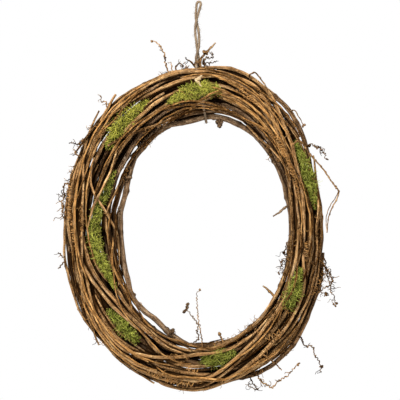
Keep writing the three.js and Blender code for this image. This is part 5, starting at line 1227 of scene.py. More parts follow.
class Nodes:
    """Short calls that add shader nodes to a tree and link them."""

    def __init__(self, tree):
        self.tree = tree

    def fill(self, node, values):
        """Links each named input to a socket, or sets it to a value."""
        for name, value in values.items():
            if isinstance(value, bpy.types.NodeSocket):
                self.tree.links.new(value, node.inputs[name])
            else:
                node.inputs[name].default_value = value
        return node

    def add(self, kind, values=(), **settings):
        """A new node with its settings and inputs."""
        node = self.tree.nodes.new(kind)
        for key, value in settings.items():
            setattr(node, key, value)
        return self.fill(node, dict(values))

    def attribute(self, name, output="Vector"):
        """A value that the mesh holds at its vertices."""
        return self.add("ShaderNodeAttribute", attribute_name=name).outputs[output]

    def look(self):
        """The vertex values: X is the tint, Y bare wood or dryness, and Z a node, the painted
        shade of a twine's groove, or yellow.
        """
        return self.add("ShaderNodeSeparateXYZ", {"Vector": self.attribute("look")}).outputs

    def noise(self, vector, scale, detail, roughness, distortion=0.0):
        """Noise from 0 to 1 at a vector."""
        node = self.add("ShaderNodeTexNoise", {
            "Vector": vector, "Scale": scale, "Detail": detail,
            "Roughness": roughness, "Distortion": distortion})
        return node.outputs["Fac"]

    def grained(self, grain, along, across, *detail):
        """Noise with one frequency along the grain and another across it."""
        node = self.add("ShaderNodeVectorMath", {0: grain, 1: (along, across, across)},
                        operation="MULTIPLY")
        return self.noise(node.outputs["Vector"], 1.0, *detail)

    def ramp(self, value, stops):
        """A colour that changes with a value through some stops."""
        node = self.add("ShaderNodeValToRGB", {"Fac": value})
        band = node.color_ramp
        while len(band.elements) < len(stops):
            band.elements.new(0.5)
        for element, (at, colour) in zip(band.elements, stops):
            element.position = at
            element.color = (*colour, 1.0)
        return node.outputs["Color"]

    def mask(self, value, low, high):
        """A smooth step from 0 at the low value to 1 at the high one."""
        node = self.add("ShaderNodeMapRange", {
            "Value": value, "From Min": low, "From Max": high}, interpolation_type="SMOOTHSTEP")
        return node.outputs["Result"]

    def math(self, operation, a, b=0.0):
        """One operation on two values."""
        return self.add("ShaderNodeMath", {0: a, 1: b}, operation=operation).outputs[0]

    def times(self, a, b):
        """The product of two values."""
        return self.math("MULTIPLY", a, b)

    def plus(self, a, b):
        """The sum of two values."""
        return self.math("ADD", a, b)

    def most(self, a, b):
        """The larger of two values."""
        return self.math("MAXIMUM", a, b)

    def swing(self, value, amount):
        """How far a value is above a half, times an amount."""
        return self.times(self.math("SUBTRACT", value, 0.5), amount)

    def blend(self, factor, a, b):
        """The first colour at factor 0, the second at 1 and their mix between."""
        return self.add("ShaderNodeMix", {0: factor, 6: a, 7: b}, data_type="RGBA").outputs[2]

    def bump(self, strength, distance, height):
        """A normal tilted by the slope of a height."""
        node = self.add("ShaderNodeBump", {"Strength": strength, "Distance": distance, "Height": height})
        return node.outputs["Normal"]


def new_material(name):
    """A material, its nodes and its shader."""
    material = bpy.data.materials.new(name)
    material.use_nodes = True
    return material, Nodes(material.node_tree), material.node_tree.nodes["Principled BSDF"]


def bark_group():
    """Bark: dark and light fibres along the cane with black cracks between them, pale worn
    patches, grey weathering, rings and specks, a darker skin at the nodes, and painted shade
    where strands shut it in. Height follows the fibres and the cracks."""
    group = bpy.data.node_groups.new("cane_bark", "ShaderNodeTree")
    for way, kind, labels in (
        ("INPUT", "NodeSocketVector", ("Grain",)),
        ("INPUT", "NodeSocketFloat", ("Node", "Painted_Shade", "Tint", "Wear", "Contrast")),
        ("INPUT", "NodeSocketColor", ("Dark", "Main", "Worn", "Grey")),
        ("OUTPUT", "NodeSocketColor", ("Color",)),
        ("OUTPUT", "NodeSocketFloat", ("Roughness", "Height")),
    ):
        for label in labels:
            group.interface.new_socket(label, in_out=way, socket_type=kind)
    n = Nodes(group)
    into, out = n.add("NodeGroupInput").outputs, n.add("NodeGroupOutput")
    grain = into["Grain"]
    share = BARK_SHARES
    fibres, fine, broad, grit = (n.grained(grain, *BARK_NOISE[layer])
                                 for layer in ("fibres", "fine", "broad", "grit"))
    relief = n.plus(n.times(fibres, share["fibres"]), n.times(fine, share["fine"]))
    level = n.plus(n.plus(relief, n.swing(broad, share["broad"])), n.swing(grit, share["grit"]))
    level = n.plus(n.plus(n.swing(level, into["Contrast"]), 0.5), n.swing(into["Tint"], share["tint"]))
    skin = n.blend(n.mask(level, *BARK_STEPS["main"]), into["Dark"], into["Main"])
    patch, grey, specks, rings = (n.mask(n.grained(grain, *BARK_NOISE[mark]), *BARK_STEPS[mark])
                                  for mark in ("worn", "grey", "specks", "rings"))
    worn = n.times(n.times(patch, into["Wear"]), n.mask(level, *BARK_STEPS["raised"]))
    skin = n.blend(worn, skin, into["Worn"])
    skin = n.blend(n.times(grey, share["grey"]), skin, into["Grey"])
    cracks = n.math("ABSOLUTE", n.math("SUBTRACT", fibres, CRACK_LEVEL))
    cracks = n.math("SUBTRACT", 1.0, n.mask(cracks, *BARK_STEPS["cracks"]))
    dark = n.most(n.most(n.times(cracks, share["cracks"]), specks), n.times(rings, share["rings"]))
    dark = n.most(n.times(dark, share["marks"]), n.times(into["Node"], share["node"]))
    skin = n.blend(dark, skin, into["Dark"])
    # painted shade: the shut-in value, made uneven by the fibres, darkens the bark
    painted_shade = n.plus(into["Painted_Shade"], n.swing(fibres, share["uneven grime"]))
    painted_shade = n.times(n.mask(painted_shade, *BARK_STEPS["painted_shade"]), share["painted_shade"])
    skin = n.blend(painted_shade, skin, into["Dark"])
    rough = n.add("ShaderNodeMapRange", {"Value": level, **BARK_ROUGHNESS})
    height = n.math("SUBTRACT", relief, n.times(cracks, share["crack depth"]))
    n.fill(out, {"Color": skin, "Roughness": rough.outputs["Result"], "Height": height})
    return group


def bark_material(name, group, main, dark, worn, grey, wood, wear, contrast):
    """Bark over the whole cane, and bare wood on its cut ends."""
    material, n, shader = new_material(name)
    look = n.look()
    # the bark takes its painted shade from the mesh's shut-in value
    bark = n.add("ShaderNodeGroup", {
        "Grain": n.attribute("grain"), "Painted_Shade": n.attribute("painted_shade", "Fac"),
        "Tint": look["X"], "Node": look["Z"], "Wear": wear, "Contrast": contrast,
        "Dark": (*dark, 1), "Main": (*main, 1), "Worn": (*worn, 1), "Grey": (*grey, 1),
    }, node_tree=group).outputs
    n.fill(shader, {
        "Base Color": n.blend(look["Y"], bark["Color"], (*wood, 1)), "Roughness": bark["Roughness"],
        "Normal": n.bump(1.0, BARK_RELIEF, bark["Height"]), "Specular IOR Level": BARK_SHINE})
    return material


def moss_material(name, settings):
    """Moss: each fibre runs from a painted shade to a yellow green, with browner dry ones among them."""
    material, n, shader = new_material(name)
    look = n.look()
    patch = n.noise(n.add("ShaderNodeTexCoord").outputs["Object"], *MOSS_NOISE)
    level = n.plus(look["X"], n.swing(patch, MOSS_PATCHY))
    green = n.ramp(level, list(zip(MOSS_STOPS, (settings.shade, settings.green, settings.tip))))
    yellow = n.times(look["Z"], n.mask(level, *MOSS_YELLOWS))
    green = n.blend(yellow, green, (*settings.yellow, 1))
    dry = n.blend(n.mask(look["Y"], *MOSS_DRIES), green, DRY_MOSS)
    n.fill(shader, {"Base Color": dry, **MOSS_FINISH})
    return material


def twine_material(name, settings):
    """Twine: grey-brown bast fibres that wind along the plies, with painted shade in the grooves."""
    material, n, shader = new_material(name)
    grain, look = n.attribute("grain"), n.look()
    fibres = n.grained(grain, *TWINE_FIBRES)
    patch = n.grained(grain, *TWINE_PATCHES)
    level = n.plus(n.times(fibres, TWINE_SHARES[0]), n.times(patch, TWINE_SHARES[1]))
    colour = n.ramp(level, list(zip(TWINE_STOPS, (settings.groove_shade_and_dark_fibre, settings.fibre, settings.pale))))
    # painted shade in the grooves between the plies
    n.fill(shader, {
        "Base Color": n.blend(look["Z"], colour, (*settings.groove_shade_and_dark_fibre, 1)), **TWINE_FINISH,
        "Normal": n.bump(*TWINE_RELIEF, fibres)})
    return material


# Settings


class CaneSettings(bpy.types.PropertyGroup):
    """What a user would change on the canes"""
    node_gap: FloatProperty(
        name="Node spacing", description="Mean distance between the nodes of a cane",
        default=0.062, min=0.02, max=0.2, unit="LENGTH")
    node_swell: FloatProperty(
        name="Node swelling", description="How much thicker a cane is at a node",
        default=0.16, min=0, max=0.5, subtype="FACTOR")
    ridge: FloatProperty(
        name="Bark ridges", description="Height of the bark's ridges against the radius",
        default=0.035, min=0, max=0.2, subtype="FACTOR")
    wander: FloatProperty(
        name="Wander", description="How far a cane strays from an even sweep",
        default=0.0005, min=0, max=0.003, unit="LENGTH")
    tan: FloatVectorProperty(
        name="Tan bark", description="Main colour of the younger front canes",
        default=(0.40, 0.21, 0.08), min=0, max=1, subtype="COLOR")
    brown: FloatVectorProperty(
        name="Brown bark", description="Main colour of the darker canes",
        default=(0.25, 0.135, 0.06), min=0, max=1, subtype="COLOR")
    golden: FloatVectorProperty(
        name="Golden bark", description="Main colour of the thin vines",
        default=(0.47, 0.225, 0.066), min=0, max=1, subtype="COLOR")
    grey: FloatVectorProperty(
        name="Grey bark", description="Main colour of the old weathered canes",
        default=(0.22, 0.13, 0.068), min=0, max=1, subtype="COLOR")


class VineSettings(bpy.types.PropertyGroup):
    """What a user would change on the thin vines"""
    front_count: IntProperty(
        name="Vines in front", description="Thin vines wound over the front of the canes",
        default=18, min=0, max=200)
    back_count: IntProperty(
        name="Vines behind", description="Thin vines wound over the back of the canes",
        default=18, min=0, max=200)
    thickness: FloatProperty(
        name="Thickness", description="Mean diameter of a thin vine",
        default=0.0021, min=0.0005, max=0.005, unit="LENGTH")
    seed: IntProperty(name="Seed", description="Seed of the random draws", default=20, min=2)


class TendrilSettings(bpy.types.PropertyGroup):
    """What a user would change on the tendrils"""
    stray_clumps: IntProperty(
        name="Stray clumps", description="Clumps of curls at places drawn at random",
        default=60, min=0, max=300)
    thickness: FloatProperty(
        name="Thickness", description="Diameter of a coiled tendril",
        default=0.0009, min=0.0002, max=0.003, unit="LENGTH")
    seed: IntProperty(name="Seed", description="Seed of the random draws", default=4, min=0)


class MossSettings(bpy.types.PropertyGroup):
    """What a user would change on the moss"""
    density: FloatProperty(
        name="Fibre density", description="Fibres for each millimetre of a tuft",
        default=19, min=1, max=60)
    reach: FloatProperty(
        name="Fibre reach", description="Mean length of a fibre",
        default=0.0100, min=0.004, max=0.04, unit="LENGTH")
    shade: FloatVectorProperty(
        name="Shaded green", description="Colour deep in a tuft",
        default=(0.022, 0.028, 0.003), min=0, max=1, subtype="COLOR")
    green: FloatVectorProperty(
        name="Green", description="Main colour of the moss",
        default=(0.19, 0.21, 0.02), min=0, max=1, subtype="COLOR")
    yellow: FloatVectorProperty(
        name="Yellow moss", description="Colour of the fibres in the yellower tufts",
        default=(0.60, 0.54, 0.08), min=0, max=1, subtype="COLOR")
    tip: FloatVectorProperty(
        name="Tip green", description="Colour of the fibres' tips",
        default=(0.48, 0.50, 0.09), min=0, max=1, subtype="COLOR")


class TwineSettings(bpy.types.PropertyGroup):
    """What a user would change on the twine"""
    pitch: FloatProperty(
        name="Lay of the plies", description="Length in which a ply winds once round",
        default=0.010, min=0.003, max=0.04, unit="LENGTH")
    # painted shade in the grooves between the plies, and the darkest fibres
    groove_shade_and_dark_fibre: FloatVectorProperty(
        name="Groove", description="Colour between the plies",
        default=(0.055, 0.033, 0.018), min=0, max=1, subtype="COLOR")
    fibre: FloatVectorProperty(
        name="Fibre", description="Main colour of the twine",
        default=(0.21, 0.145, 0.09), min=0, max=1, subtype="COLOR")
    pale: FloatVectorProperty(
        name="Pale fibre", description="Colour of the outermost fibres",
        default=(0.42, 0.32, 0.21), min=0, max=1, subtype="COLOR")


class StageSettings(bpy.types.PropertyGroup):
    """What a user would change on the stage"""
    floor: FloatVectorProperty(
        name="Floor", description="Colour of the studio floor",
        default=(0.9, 0.9, 0.9), min=0, max=1, subtype="COLOR")
    distance: FloatProperty(
        name="Camera distance", description="From the camera to the wreath",
        default=3.0, min=1, max=10, unit="LENGTH")


# Operators


def finished(shell, name, material):
    """A shell's object, riding on the body, with the slot of its finish."""
    piece = shell.mesh_object(name, material)
    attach(piece, "root")
    return piece


def slot_of(name):
    """The finish that the start of a node's name stands for, or else tan bark."""
    return next((slot for start, slot in FINISH.items() if name.startswith(start)), "bark_tan")


class WREATH_OT_canes(bpy.types.Operator):
    """Makes every cane and shoot with its bark, nodes, buds, side shoots and tendrils"""

    bl_idname = "wreath.canes"
    bl_label = "Make the Canes"

    def execute(self, context):
        settings = context.scene.wreath_canes
        group = bark_group()
        materials = {slot: bark_material(name, group, getattr(settings, main), *looks)
                     for name, slot, main, *looks in BARKS}
        shoots = shoot_paths()
        rng = np.random.default_rng(CANE_SEED)
        for number, strand in enumerate(STRANDS):
            name = strand["name"]
            if name.startswith("moss"):
                continue
            shell = Shell()
            k = np.linspace(strand["k"][0], strand["k"][-1], FINE * (len(strand["k"]) - 1) + 1)
            u, v, radius = strand_at(strand, k).T
            s = arc_length(place_in_band(k * STEP, u, v))
            wander = settings.wander * 1000
            u = u + noise_along(s, 3 * number, 61, wander)
            v = v + noise_along(s, 3 * number + 1, 47, wander)
            line = place_in_band(k * STEP, u, v)
            around = 16 if radius.max() > THICK_CANE else 12
            skin, nodes = cane_skin(s, around, SHRINK * radius, 11 * number, settings.node_gap * 1000,
                                    settings.node_swell, settings.ridge)
            tint = TINTS.get(name, rng.uniform(0.3, 0.65))
            # painted shade of the bark in the gaps between strands
            painted_shade = painted_shade_on(number, k, u, v, skin, WOUND)
            look = add_tube(shell, line, skin, around, tint, twist=rng.uniform(-0.02, 0.02), painted_shade=painted_shade)
            look[..., 2] = nodes[:, None]
            for place, (owner, thick, path) in enumerate(shoots):
                if owner == name:
                    self.side_shoot(shell, rng, place, thick, path, tint)
            for degrees, size, count in KNOTS.get(name, ()):
                self.knot(shell, line, radius, k * STEP, degrees, size, count, tint)
            piece = finished(shell, name + "_bark", materials[slot_of(name)])
            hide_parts(name)
        return {"FINISHED"}

    def side_shoot(self, shell, rng, place, thick, path, tint):
        """The side shoot at a place in the list, with its second stem, curls and buds."""
        coil = COILED.get(place, (CRINKLE, CRINKLE_PITCH))
        shade = tint - SHOOT_SHADES.get(place, SHOOT_SHADE)
        seed = int(thick * 100) + len(path)
        path = add_shoot(shell, path, thick, seed, shade, SHARP_JOINTS.get(place), coil)
        if place in TWIN_STEMS:
            stem = path[int(TWIN_STEMS[place] * len(path)):]
            bow = np.sin(np.linspace(0, math.pi, len(stem)))[:, None]
            stem = stem + frames_along(stem)[1] * bow * TWIN_BOW
            add_tube(shell, stem, np.full(len(stem), TWIN_THICK * thick), SHOOT_AROUND, shade,
                     turning_frames(stem))
        if place in TANGLES:
            count, length = TANGLES[place]
            roots = path[rng.integers(len(path) // 4, len(path), count)]
            add_curls(shell, rng, roots, None, length, shade, SHOOT_CURLS)
        for _, share, size, count, *shift in (row for row in BUDS if row[0] == place):
            right, up = shift or (0, 0)
            at = path[int(share * (len(path) - 1))] + (right, 0, up)
            for _ in range(count):
                aside = rng.normal(0, 0.7 * size if count > 1 else 0, 3)
                add_lump(shell, at + aside, size * rng.uniform(0.6, 1.0), rng, shade)

    def knot(self, shell, line, radius, angles, degrees, size, count, tint):
        """A knobbly joint: lumps round one place on the inner, front side of a cane."""
        rng = np.random.default_rng(int(degrees * 10))
        at = np.abs((angles - degrees + 180) % 360 - 180).argmin()
        side = frames_along(line)[1][at]
        for _ in range(count):
            way = side * rng.uniform(-1, -0.3) + np.array([0, -1, 0]) * rng.uniform(0, 0.9)
            centre = line[(at + rng.integers(-1, 2)) % len(line)] + way * radius[at] * 0.8
            add_lump(shell, centre, size * rng.uniform(0.6, 1.0), rng, tint - rng.uniform(0, 0.3))


def evened(values, reach):
    """The highest value within reach of each, then the mean over the same reach."""
    padded = np.pad(values, reach, mode="edge")
    highest = np.lib.stride_tricks.sliding_window_view(padded, 2 * reach + 1).max(-1)
    weights = np.hanning(2 * reach + 3)[1:-1]
    return np.convolve(np.pad(highest, reach, mode="edge"), weights / weights.sum(), "valid")


def draped(station, u, radius, face, table):
    """Depth of a thin vine that lies on the front, face -1, or the back, face 1: over each
    strand it rides as high as two round sections need, and it bridges the gaps between."""
    rows = table[station % FINE_TURN]
    aside = np.abs(rows[..., 0] - u[:, None])
    reach = rows[..., 2] + radius + VINE_GAP
    touching = face * rows[..., 1] + np.sqrt(np.maximum(reach**2 - aside**2, 0))
    nearby = face * rows[..., 1] - (aside - reach)
    height = np.where(aside < reach, touching, nearby)
    height = np.where(rows[..., 2] < FAR_AWAY, height, -FAR_AWAY).max(-1)
    tie = -TIE_FRONT + TWINE_DIAMETER + TIE_GAP + radius
    at_tie = np.abs((station + FINE) % FINE_TURN - FINE) < FINE / 2
    return face * evened(np.maximum(height, np.where(at_tie, tie, -FAR_AWAY)), VINE_REACH)


class WREATH_OT_vines(bpy.types.Operator):
    """Makes the thin vines that wind over the canes on the front and behind them"""

    bl_idname = "wreath.vines"
    bl_label = "Make the Thin Vines"

    def execute(self, context):
        settings = context.scene.wreath_vines
        table = WOUND.copy()
        behind = [(diameter, BACK_TINT, way) for diameter, way in BACK_VINES]
        for face, chosen, count, name in ((-1, FRONT_VINES, settings.front_count, "front"),
                                          (1, behind, settings.back_count, "back")):
            rng = np.random.default_rng(settings.seed + face)
            shell = Shell()
            for diameter, tint, way, *lift in chosen:
                way = np.array(way, float)
                station = np.arange(*fine_station(way[[0, -1], 0]))
                lane = through(way[:, 0], way[:, 1:], angle_of(station))[:, 0]
                table = self.vine(shell, rng, face, table, station, lane, diameter, tint, *lift)
            for _ in range(count):
                station, lane = self.drawn(rng)
                while face < 0 and self.over_moss(station, lane):
                    station, lane = self.drawn(rng)
                diameter = 1000 * settings.thickness * rng.uniform(0.6, 1.3)
                table = self.vine(shell, rng, face, table, station, lane, diameter, rng.uniform(0.15, 0.7))
            finished(shell, "thin_vines_" + name, bpy.data.materials["vine_bark"])
        return {"FINISHED"}

    def drawn(self, rng):
        """A vine's stations and lanes: from one lane evenly to another, plus a slow sine."""
        steps = int(rng.uniform(0.12, 0.4) * FINE_TURN)
        share = np.linspace(0, 1, steps)
        start, end = rng.uniform(0.08, 0.92, 2)
        end = start + np.clip(end - start, -0.4, 0.4) * steps / FINE_TURN * 3
        swing = 0.03 * np.sin(TURN * (share * rng.uniform(1, 2.5) + rng.uniform()))
        lane = np.clip(start + (end - start) * share + swing, 0.06, 0.95)
        return rng.integers(0, FINE_TURN) + np.arange(steps), lane

    def over_moss(self, station, lane):
        """Whether a vine covers a tuft's middle at two or more of its waypoints."""
        at = angle_of(station)
        for _, rows in MOSS:
            rows = np.array(rows, float)
            off = np.abs((at - rows[:, :1] + 180) % 360 - 180)
            aside = np.abs(lane[off.argmin(1)] - rows[:, 1])
            if ((off.min(1) < STEP) & (aside < MOSS_BERTH)).sum() > 1:
                return True
        return False

    def vine(self, shell, rng, face, table, station, lane, diameter, tint, lift=0):
        """One thin vine draped over the others. Its ends sink into what lies under it, and
        its place joins the table, so that the next one rides over it. Its middle is lifted
        clear of them in a half sine."""
        degrees = angle_of(station)
        u = lane * band_width(degrees)
        radius = diameter / 2
        v = draped(station, u, radius, face, table)
        v = v + face * lift * np.sin(np.linspace(0, math.pi, len(u))) ** 0.6
        sink = np.minimum(np.arange(len(u)), np.arange(len(u))[::-1]) / FINE
        v = v - face * radius * VINE_SINKS * np.clip(1 - sink * 1.4, 0, 1) ** 2
        line = place_in_band(degrees, u, v)
        s = arc_length(line)
        line = line + frames_along(line)[1] * noise_along(s, rng.integers(SEEDS), 34, 0.4)[:, None]
        taper = np.clip(np.minimum(s, s[-1] - s) / 30, 0, 1) * 0.35 + 0.65
        skin, nodes = cane_skin(s, VINE_AROUND, radius * taper, rng.integers(SEEDS), *VINE_BARK)
        # painted shade of the vine's bark where other strands shut it in
        painted_shade = painted_shade_on(NEW_VINE, station / FINE, u, v, skin, table)
        look = add_tube(shell, line, skin, VINE_AROUND, tint, twist=0.02, painted_shade=painted_shade)
        look[..., 2] = nodes[:, None]
        rows = np.full((FINE_TURN, 1, 5), FAR_AWAY)
        rows[station % FINE_TURN, 0] = np.stack([u, v, 0 * u + radius, 0 * u + THIN_VINE, station], -1)
        return np.concatenate([table, rows], 1)


class WREATH_OT_tendrils(bpy.types.Operator):
    """Makes the hair-thin curls on the bark and the tendrils coiled round the vines"""

    bl_idname = "wreath.tendrils"
    bl_label = "Make the Tendrils"

    def execute(self, context):
        settings = context.scene.wreath_tendrils
        rng = np.random.default_rng(settings.seed)
        shell = Shell()
        for clump in CURLS:
            self.curls(shell, rng, *clump)
        for _ in range(settings.stray_clumps):
            edge = rng.choice([0.0, 1.0, rng.uniform()])
            self.curls(shell, rng, rng.uniform(0, 360), edge, *STRAY_CLUMP)
        self.chip(shell, rng)
        for coil in COILS:
            self.coil(shell, rng, *coil, settings.thickness * 1000)
        finished(shell, "tendril_curls", bpy.data.materials["vine_bark"])
        return {"FINISHED"}

    def curls(self, shell, rng, degrees, lane, depth, count, spread, length):
        """A clump of curls: each is rooted where the nearest bark lies to a point that is
        drawn round the clump's middle."""
        degrees = np.array([degrees])
        middle = place_in_band(degrees, lane * band_width(degrees), depth)
        wanted = middle + rng.normal(0, spread, (count, 3)) * (1, 0.6, 1)
        feet = np.stack([nearest_on_segments(point) for point in wanted])
        far = np.linalg.norm(feet - wanted[:, None], axis=-1) - SEGMENTS[2]
        nearest = far.argmin(1)
        foot = feet[np.arange(count), nearest]
        out = unit(wanted - foot)
        root = foot + out * (0.85 * SEGMENTS[2][nearest])[:, None]
        heading = unit(out + 0.9 * random_ways(rng, count))
        add_curls(shell, rng, root, heading, length, 0, BARK_CURLS)

    def chip(self, shell, rng):
        """The pale torn chip on the front at the top: flat slivers of bare wood that fork
        out from one side, each a tube flattened from front to back."""
        station = fine_station(CHIP[:1])
        u = CHIP[1] * band_width(angle_of(station))
        root = place_in_band(angle_of(station), u, draped(station, u, CHIP_RADIUS, -1, WOUND))[0]
        for lean, start, end in CHIP_SLIVERS:
            way = np.array([math.cos(math.radians(lean)), -0.12, math.sin(math.radians(lean))])
            line = root + (0, 0, start) + way * np.linspace(0, end, len(CHIP_WIDTHS))[:, None]
            line = line + rng.normal(0, 0.3, line.shape)
            flat = 1 + CHIP_FLAT * np.abs(np.cos(TURN * np.arange(CHIP_AROUND) / CHIP_AROUND))
            wide = np.array(CHIP_WIDTHS)[:, None] * flat
            look = add_tube(shell, line, wide, CHIP_AROUND, CHIP_BARE, painted_shade=OPEN_PAINTED_SHADE)
            look[..., 1] = CHIP_BARE

    def coil(self, shell, rng, first, last, lane, end_lane, radius, thick):
        """A tendril coiled along the front: a helix whose middle line is draped over the
        canes and lifted off them."""
        station = np.arange(fine_station(first), fine_station(last) + 1)
        u = np.linspace(lane, end_lane, len(station)) * band_width(angle_of(station))
        v = draped(station, u, radius * COIL_DRAPED, -1, WOUND) - COIL_LIFT
        line = place_in_band(angle_of(station), u, v)
        line = spline(line, int(arc_length(line)[-1] / 0.5))
        s = arc_length(line)
        turn = TURN * (s + noise_along(s, rng.integers(SEEDS), 21, 2.0)) / (radius * COIL_PITCH)
        wide = radius * (1 + noise_along(s, rng.integers(SEEDS), 13, 0.4))
        _, side, front = frames_along(line)
        path = helix(line, side, front, wide, turn)
        radii = thick / 2 * np.linspace(1.1, 0.8, len(path))
        add_tube(shell, path, radii, COIL_AROUND, rng.uniform(0.8, 1.2), turning_frames(path),
                 cut=False, painted_shade=OPEN_PAINTED_SHADE)


class WREATH_OT_moss(bpy.types.Operator):
    """Makes the moss tufts from curling fibres over a core in painted shade"""

    bl_idname = "wreath.moss"
    bl_label = "Make the Moss"

    def execute(self, context):
        settings = context.scene.wreath_moss
        material = moss_material("moss_fibres", settings)
        for number, strand in enumerate(s for s in STRANDS if s["name"].startswith("moss")):
            shell = Shell()
            self.core(shell, strand)
            self.fibres(shell, strand, settings, MOSS_SEED + number)
            piece = finished(shell, strand["name"] + "_fibres", material)
            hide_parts(strand["name"])
        return {"FINISHED"}

    def core(self, shell, strand):
        """A tube inside the tuft, at part of its radius, in the moss's painted shade colour."""
        line = spline(strand["points"], 6 * len(strand["points"]))
        radius = np.interp(np.linspace(0, 1, len(line)), np.linspace(0, 1, len(strand["radius"])),
                           strand["radius"])
        add_tube(shell, line, MOSS_CORE * radius, 12, cut=False)

    def fibres(self, shell, strand, settings, seed):
        """Fibres: each is rooted in the tuft at a random turn round its middle line and
        heads outwards, with a curl of its own."""
        rng = np.random.default_rng(seed)
        points, radius = strand["points"], strand["radius"]
        s = arc_length(points)
        count = int(settings.density * s[-1])
        thinning, reach, aside = MOSS_HABITS[strand["name"]]
        at = (rng.uniform(0, 1, count) ** thinning * 1.04 - 0.02) * s[-1]
        middle = straight(at, s, points)
        thick = np.interp(at, s, radius)
        along, side, _ = frames_along(straight(np.linspace(0, s[-1], 50), s, points))
        i = np.clip((at / s[-1] * 49).round().astype(int), 0, 49)
        fan = rng.normal(aside, MOSS_FAN, count).clip(-MOSS_FAN_MOST, MOSS_FAN_MOST)
        out = side[i] * np.sin(fan)[:, None] + np.array([0, -1.0, 0]) * np.cos(fan)[:, None]
        depth = rng.uniform(0.3, 0.9, count)
        root = middle + out * (thick * depth)[:, None]
        root = root + along[i] * rng.normal(0, 1.5, count)[:, None]
        length = settings.reach * 1000 * rng.uniform(0.45, 1.5, count) * reach
        length = length * np.clip(thick / 6, 0.4, 1.2)
        heading = out + 0.9 * along[i] * rng.normal(0, 1, count)[:, None]
        heading = unit(heading + rng.normal(0, 0.35, (count, 3)))
        rate = rng.uniform(0.12, 0.62, count) * rng.choice([-1, 1], count)
        steps = len(MOSS_WIDTHS)
        path = curled(root, heading, length, random_ways(rng, count), rate, steps)
        width = rng.uniform(0.17, 0.36, count)[:, None] * np.array(MOSS_WIDTHS)
        tuft = noise_along(at, seed, 14, 0.22) + noise_along(fan * 10, seed + 1, 9, 0.16)
        look = np.zeros((count, steps, 3))
        # painted shade: fibres rooted deeper in the tuft are darker, and each is darker towards its root
        look[..., 0] = (0.75 * depth - 0.3 + tuft + rng.uniform(0, 0.25, count))[:, None]
        look[..., 0] += 0.35 * np.linspace(0, 1, steps)
        look[..., 1] = rng.uniform(0, 1, count)[:, None]
        look[..., 2] = YELLOW_MOSS.get(strand["name"], 0.0)
        hole = noise_along(at, seed + 2, 12, 1.0) * noise_along(fan * 10, seed + 3, 8, 1.0)
        kept = hole < MOSS_HOLE
        add_fibres(shell, path[kept], width[kept], look[kept])


def two_sides(rows):
    """Two lines that turn about each other, from rows of half their distance, turn,
    height and middle."""
    half, turn, z, middle = np.array(rows, float).T
    turn = np.radians(turn)
    depth = KNOT[1] * np.maximum(0, 1 - (z - KNOT[2]) / HANGER_STANDS_UP)
    return [np.stack([middle + side * half * np.cos(turn), depth + side * half * np.sin(turn), z], -1)
            for side in (1, -1)]


def hanger_route():
    """The loop's line: two sides that turn about each other as they rise, over the top."""
    up, down = two_sides(HANGER)
    return np.vstack([up, [[0, 0, TWINE_DIAMETER / 2]], down[::-1]])


def knot_turn(lean, height):
    """A turn of the knot: a level circle, tipped sideways by its lean."""
    t, lean = np.linspace(0, TURN, 61), math.radians(lean)
    across = KNOT_RADIUS * np.cos(t)
    circle = [across * math.cos(lean), KNOT_RADIUS * np.sin(t), -across * math.sin(lean)]
    return KNOT + np.stack(circle, -1) + (0, 0, height)


def add_twine(shell, line, diameter, pitch, around):
    """Three plies: the radius swells and falls three times round, and the pattern winds
    once round in each pitch."""
    s = arc_length(line)
    angle = TURN * np.arange(around) / around
    phase = PLIES / 2 * (angle[None] - TURN * s[:, None] / pitch)
    ply = np.abs(np.cos(phase))
    radii = diameter / 2 * (0.88 + 0.26 * ply**0.6)
    look = add_tube(shell, line, radii, around, 0.5, turning_frames(line), cut=False)
    # painted shade in the grooves between the plies
    look[..., 2] = np.clip(1 - 2.2 * ply, 0, 1)


def add_hairs(shell, line, diameter, count, seed):
    """Stray fibres: short bent whiskers that leave the twine nearly along it."""
    rng = np.random.default_rng(seed)
    along, side, front = turning_frames(line)
    for _ in range(count):
        i = rng.integers(2, len(line) - 2)
        angle = rng.uniform(0, TURN)
        out = side[i] * math.cos(angle) + front[i] * math.sin(angle)
        way = along[i] * rng.choice([-1, 1]) * rng.uniform(0.5, 1.2) + out
        way /= np.linalg.norm(way)
        bend = rng.normal(0, 0.5, 3)
        t = np.linspace(0, 1, 6)[:, None]
        reach = rng.uniform(1.5, 4.5)
        path = line[i] + out * diameter * 0.4 + way * t * reach + bend * (t * reach) ** 2 * 0.12
        add_tube(shell, path, np.linspace(0.15, 0.06, 6), 3, 0.8, turning_frames(path), cut=False)


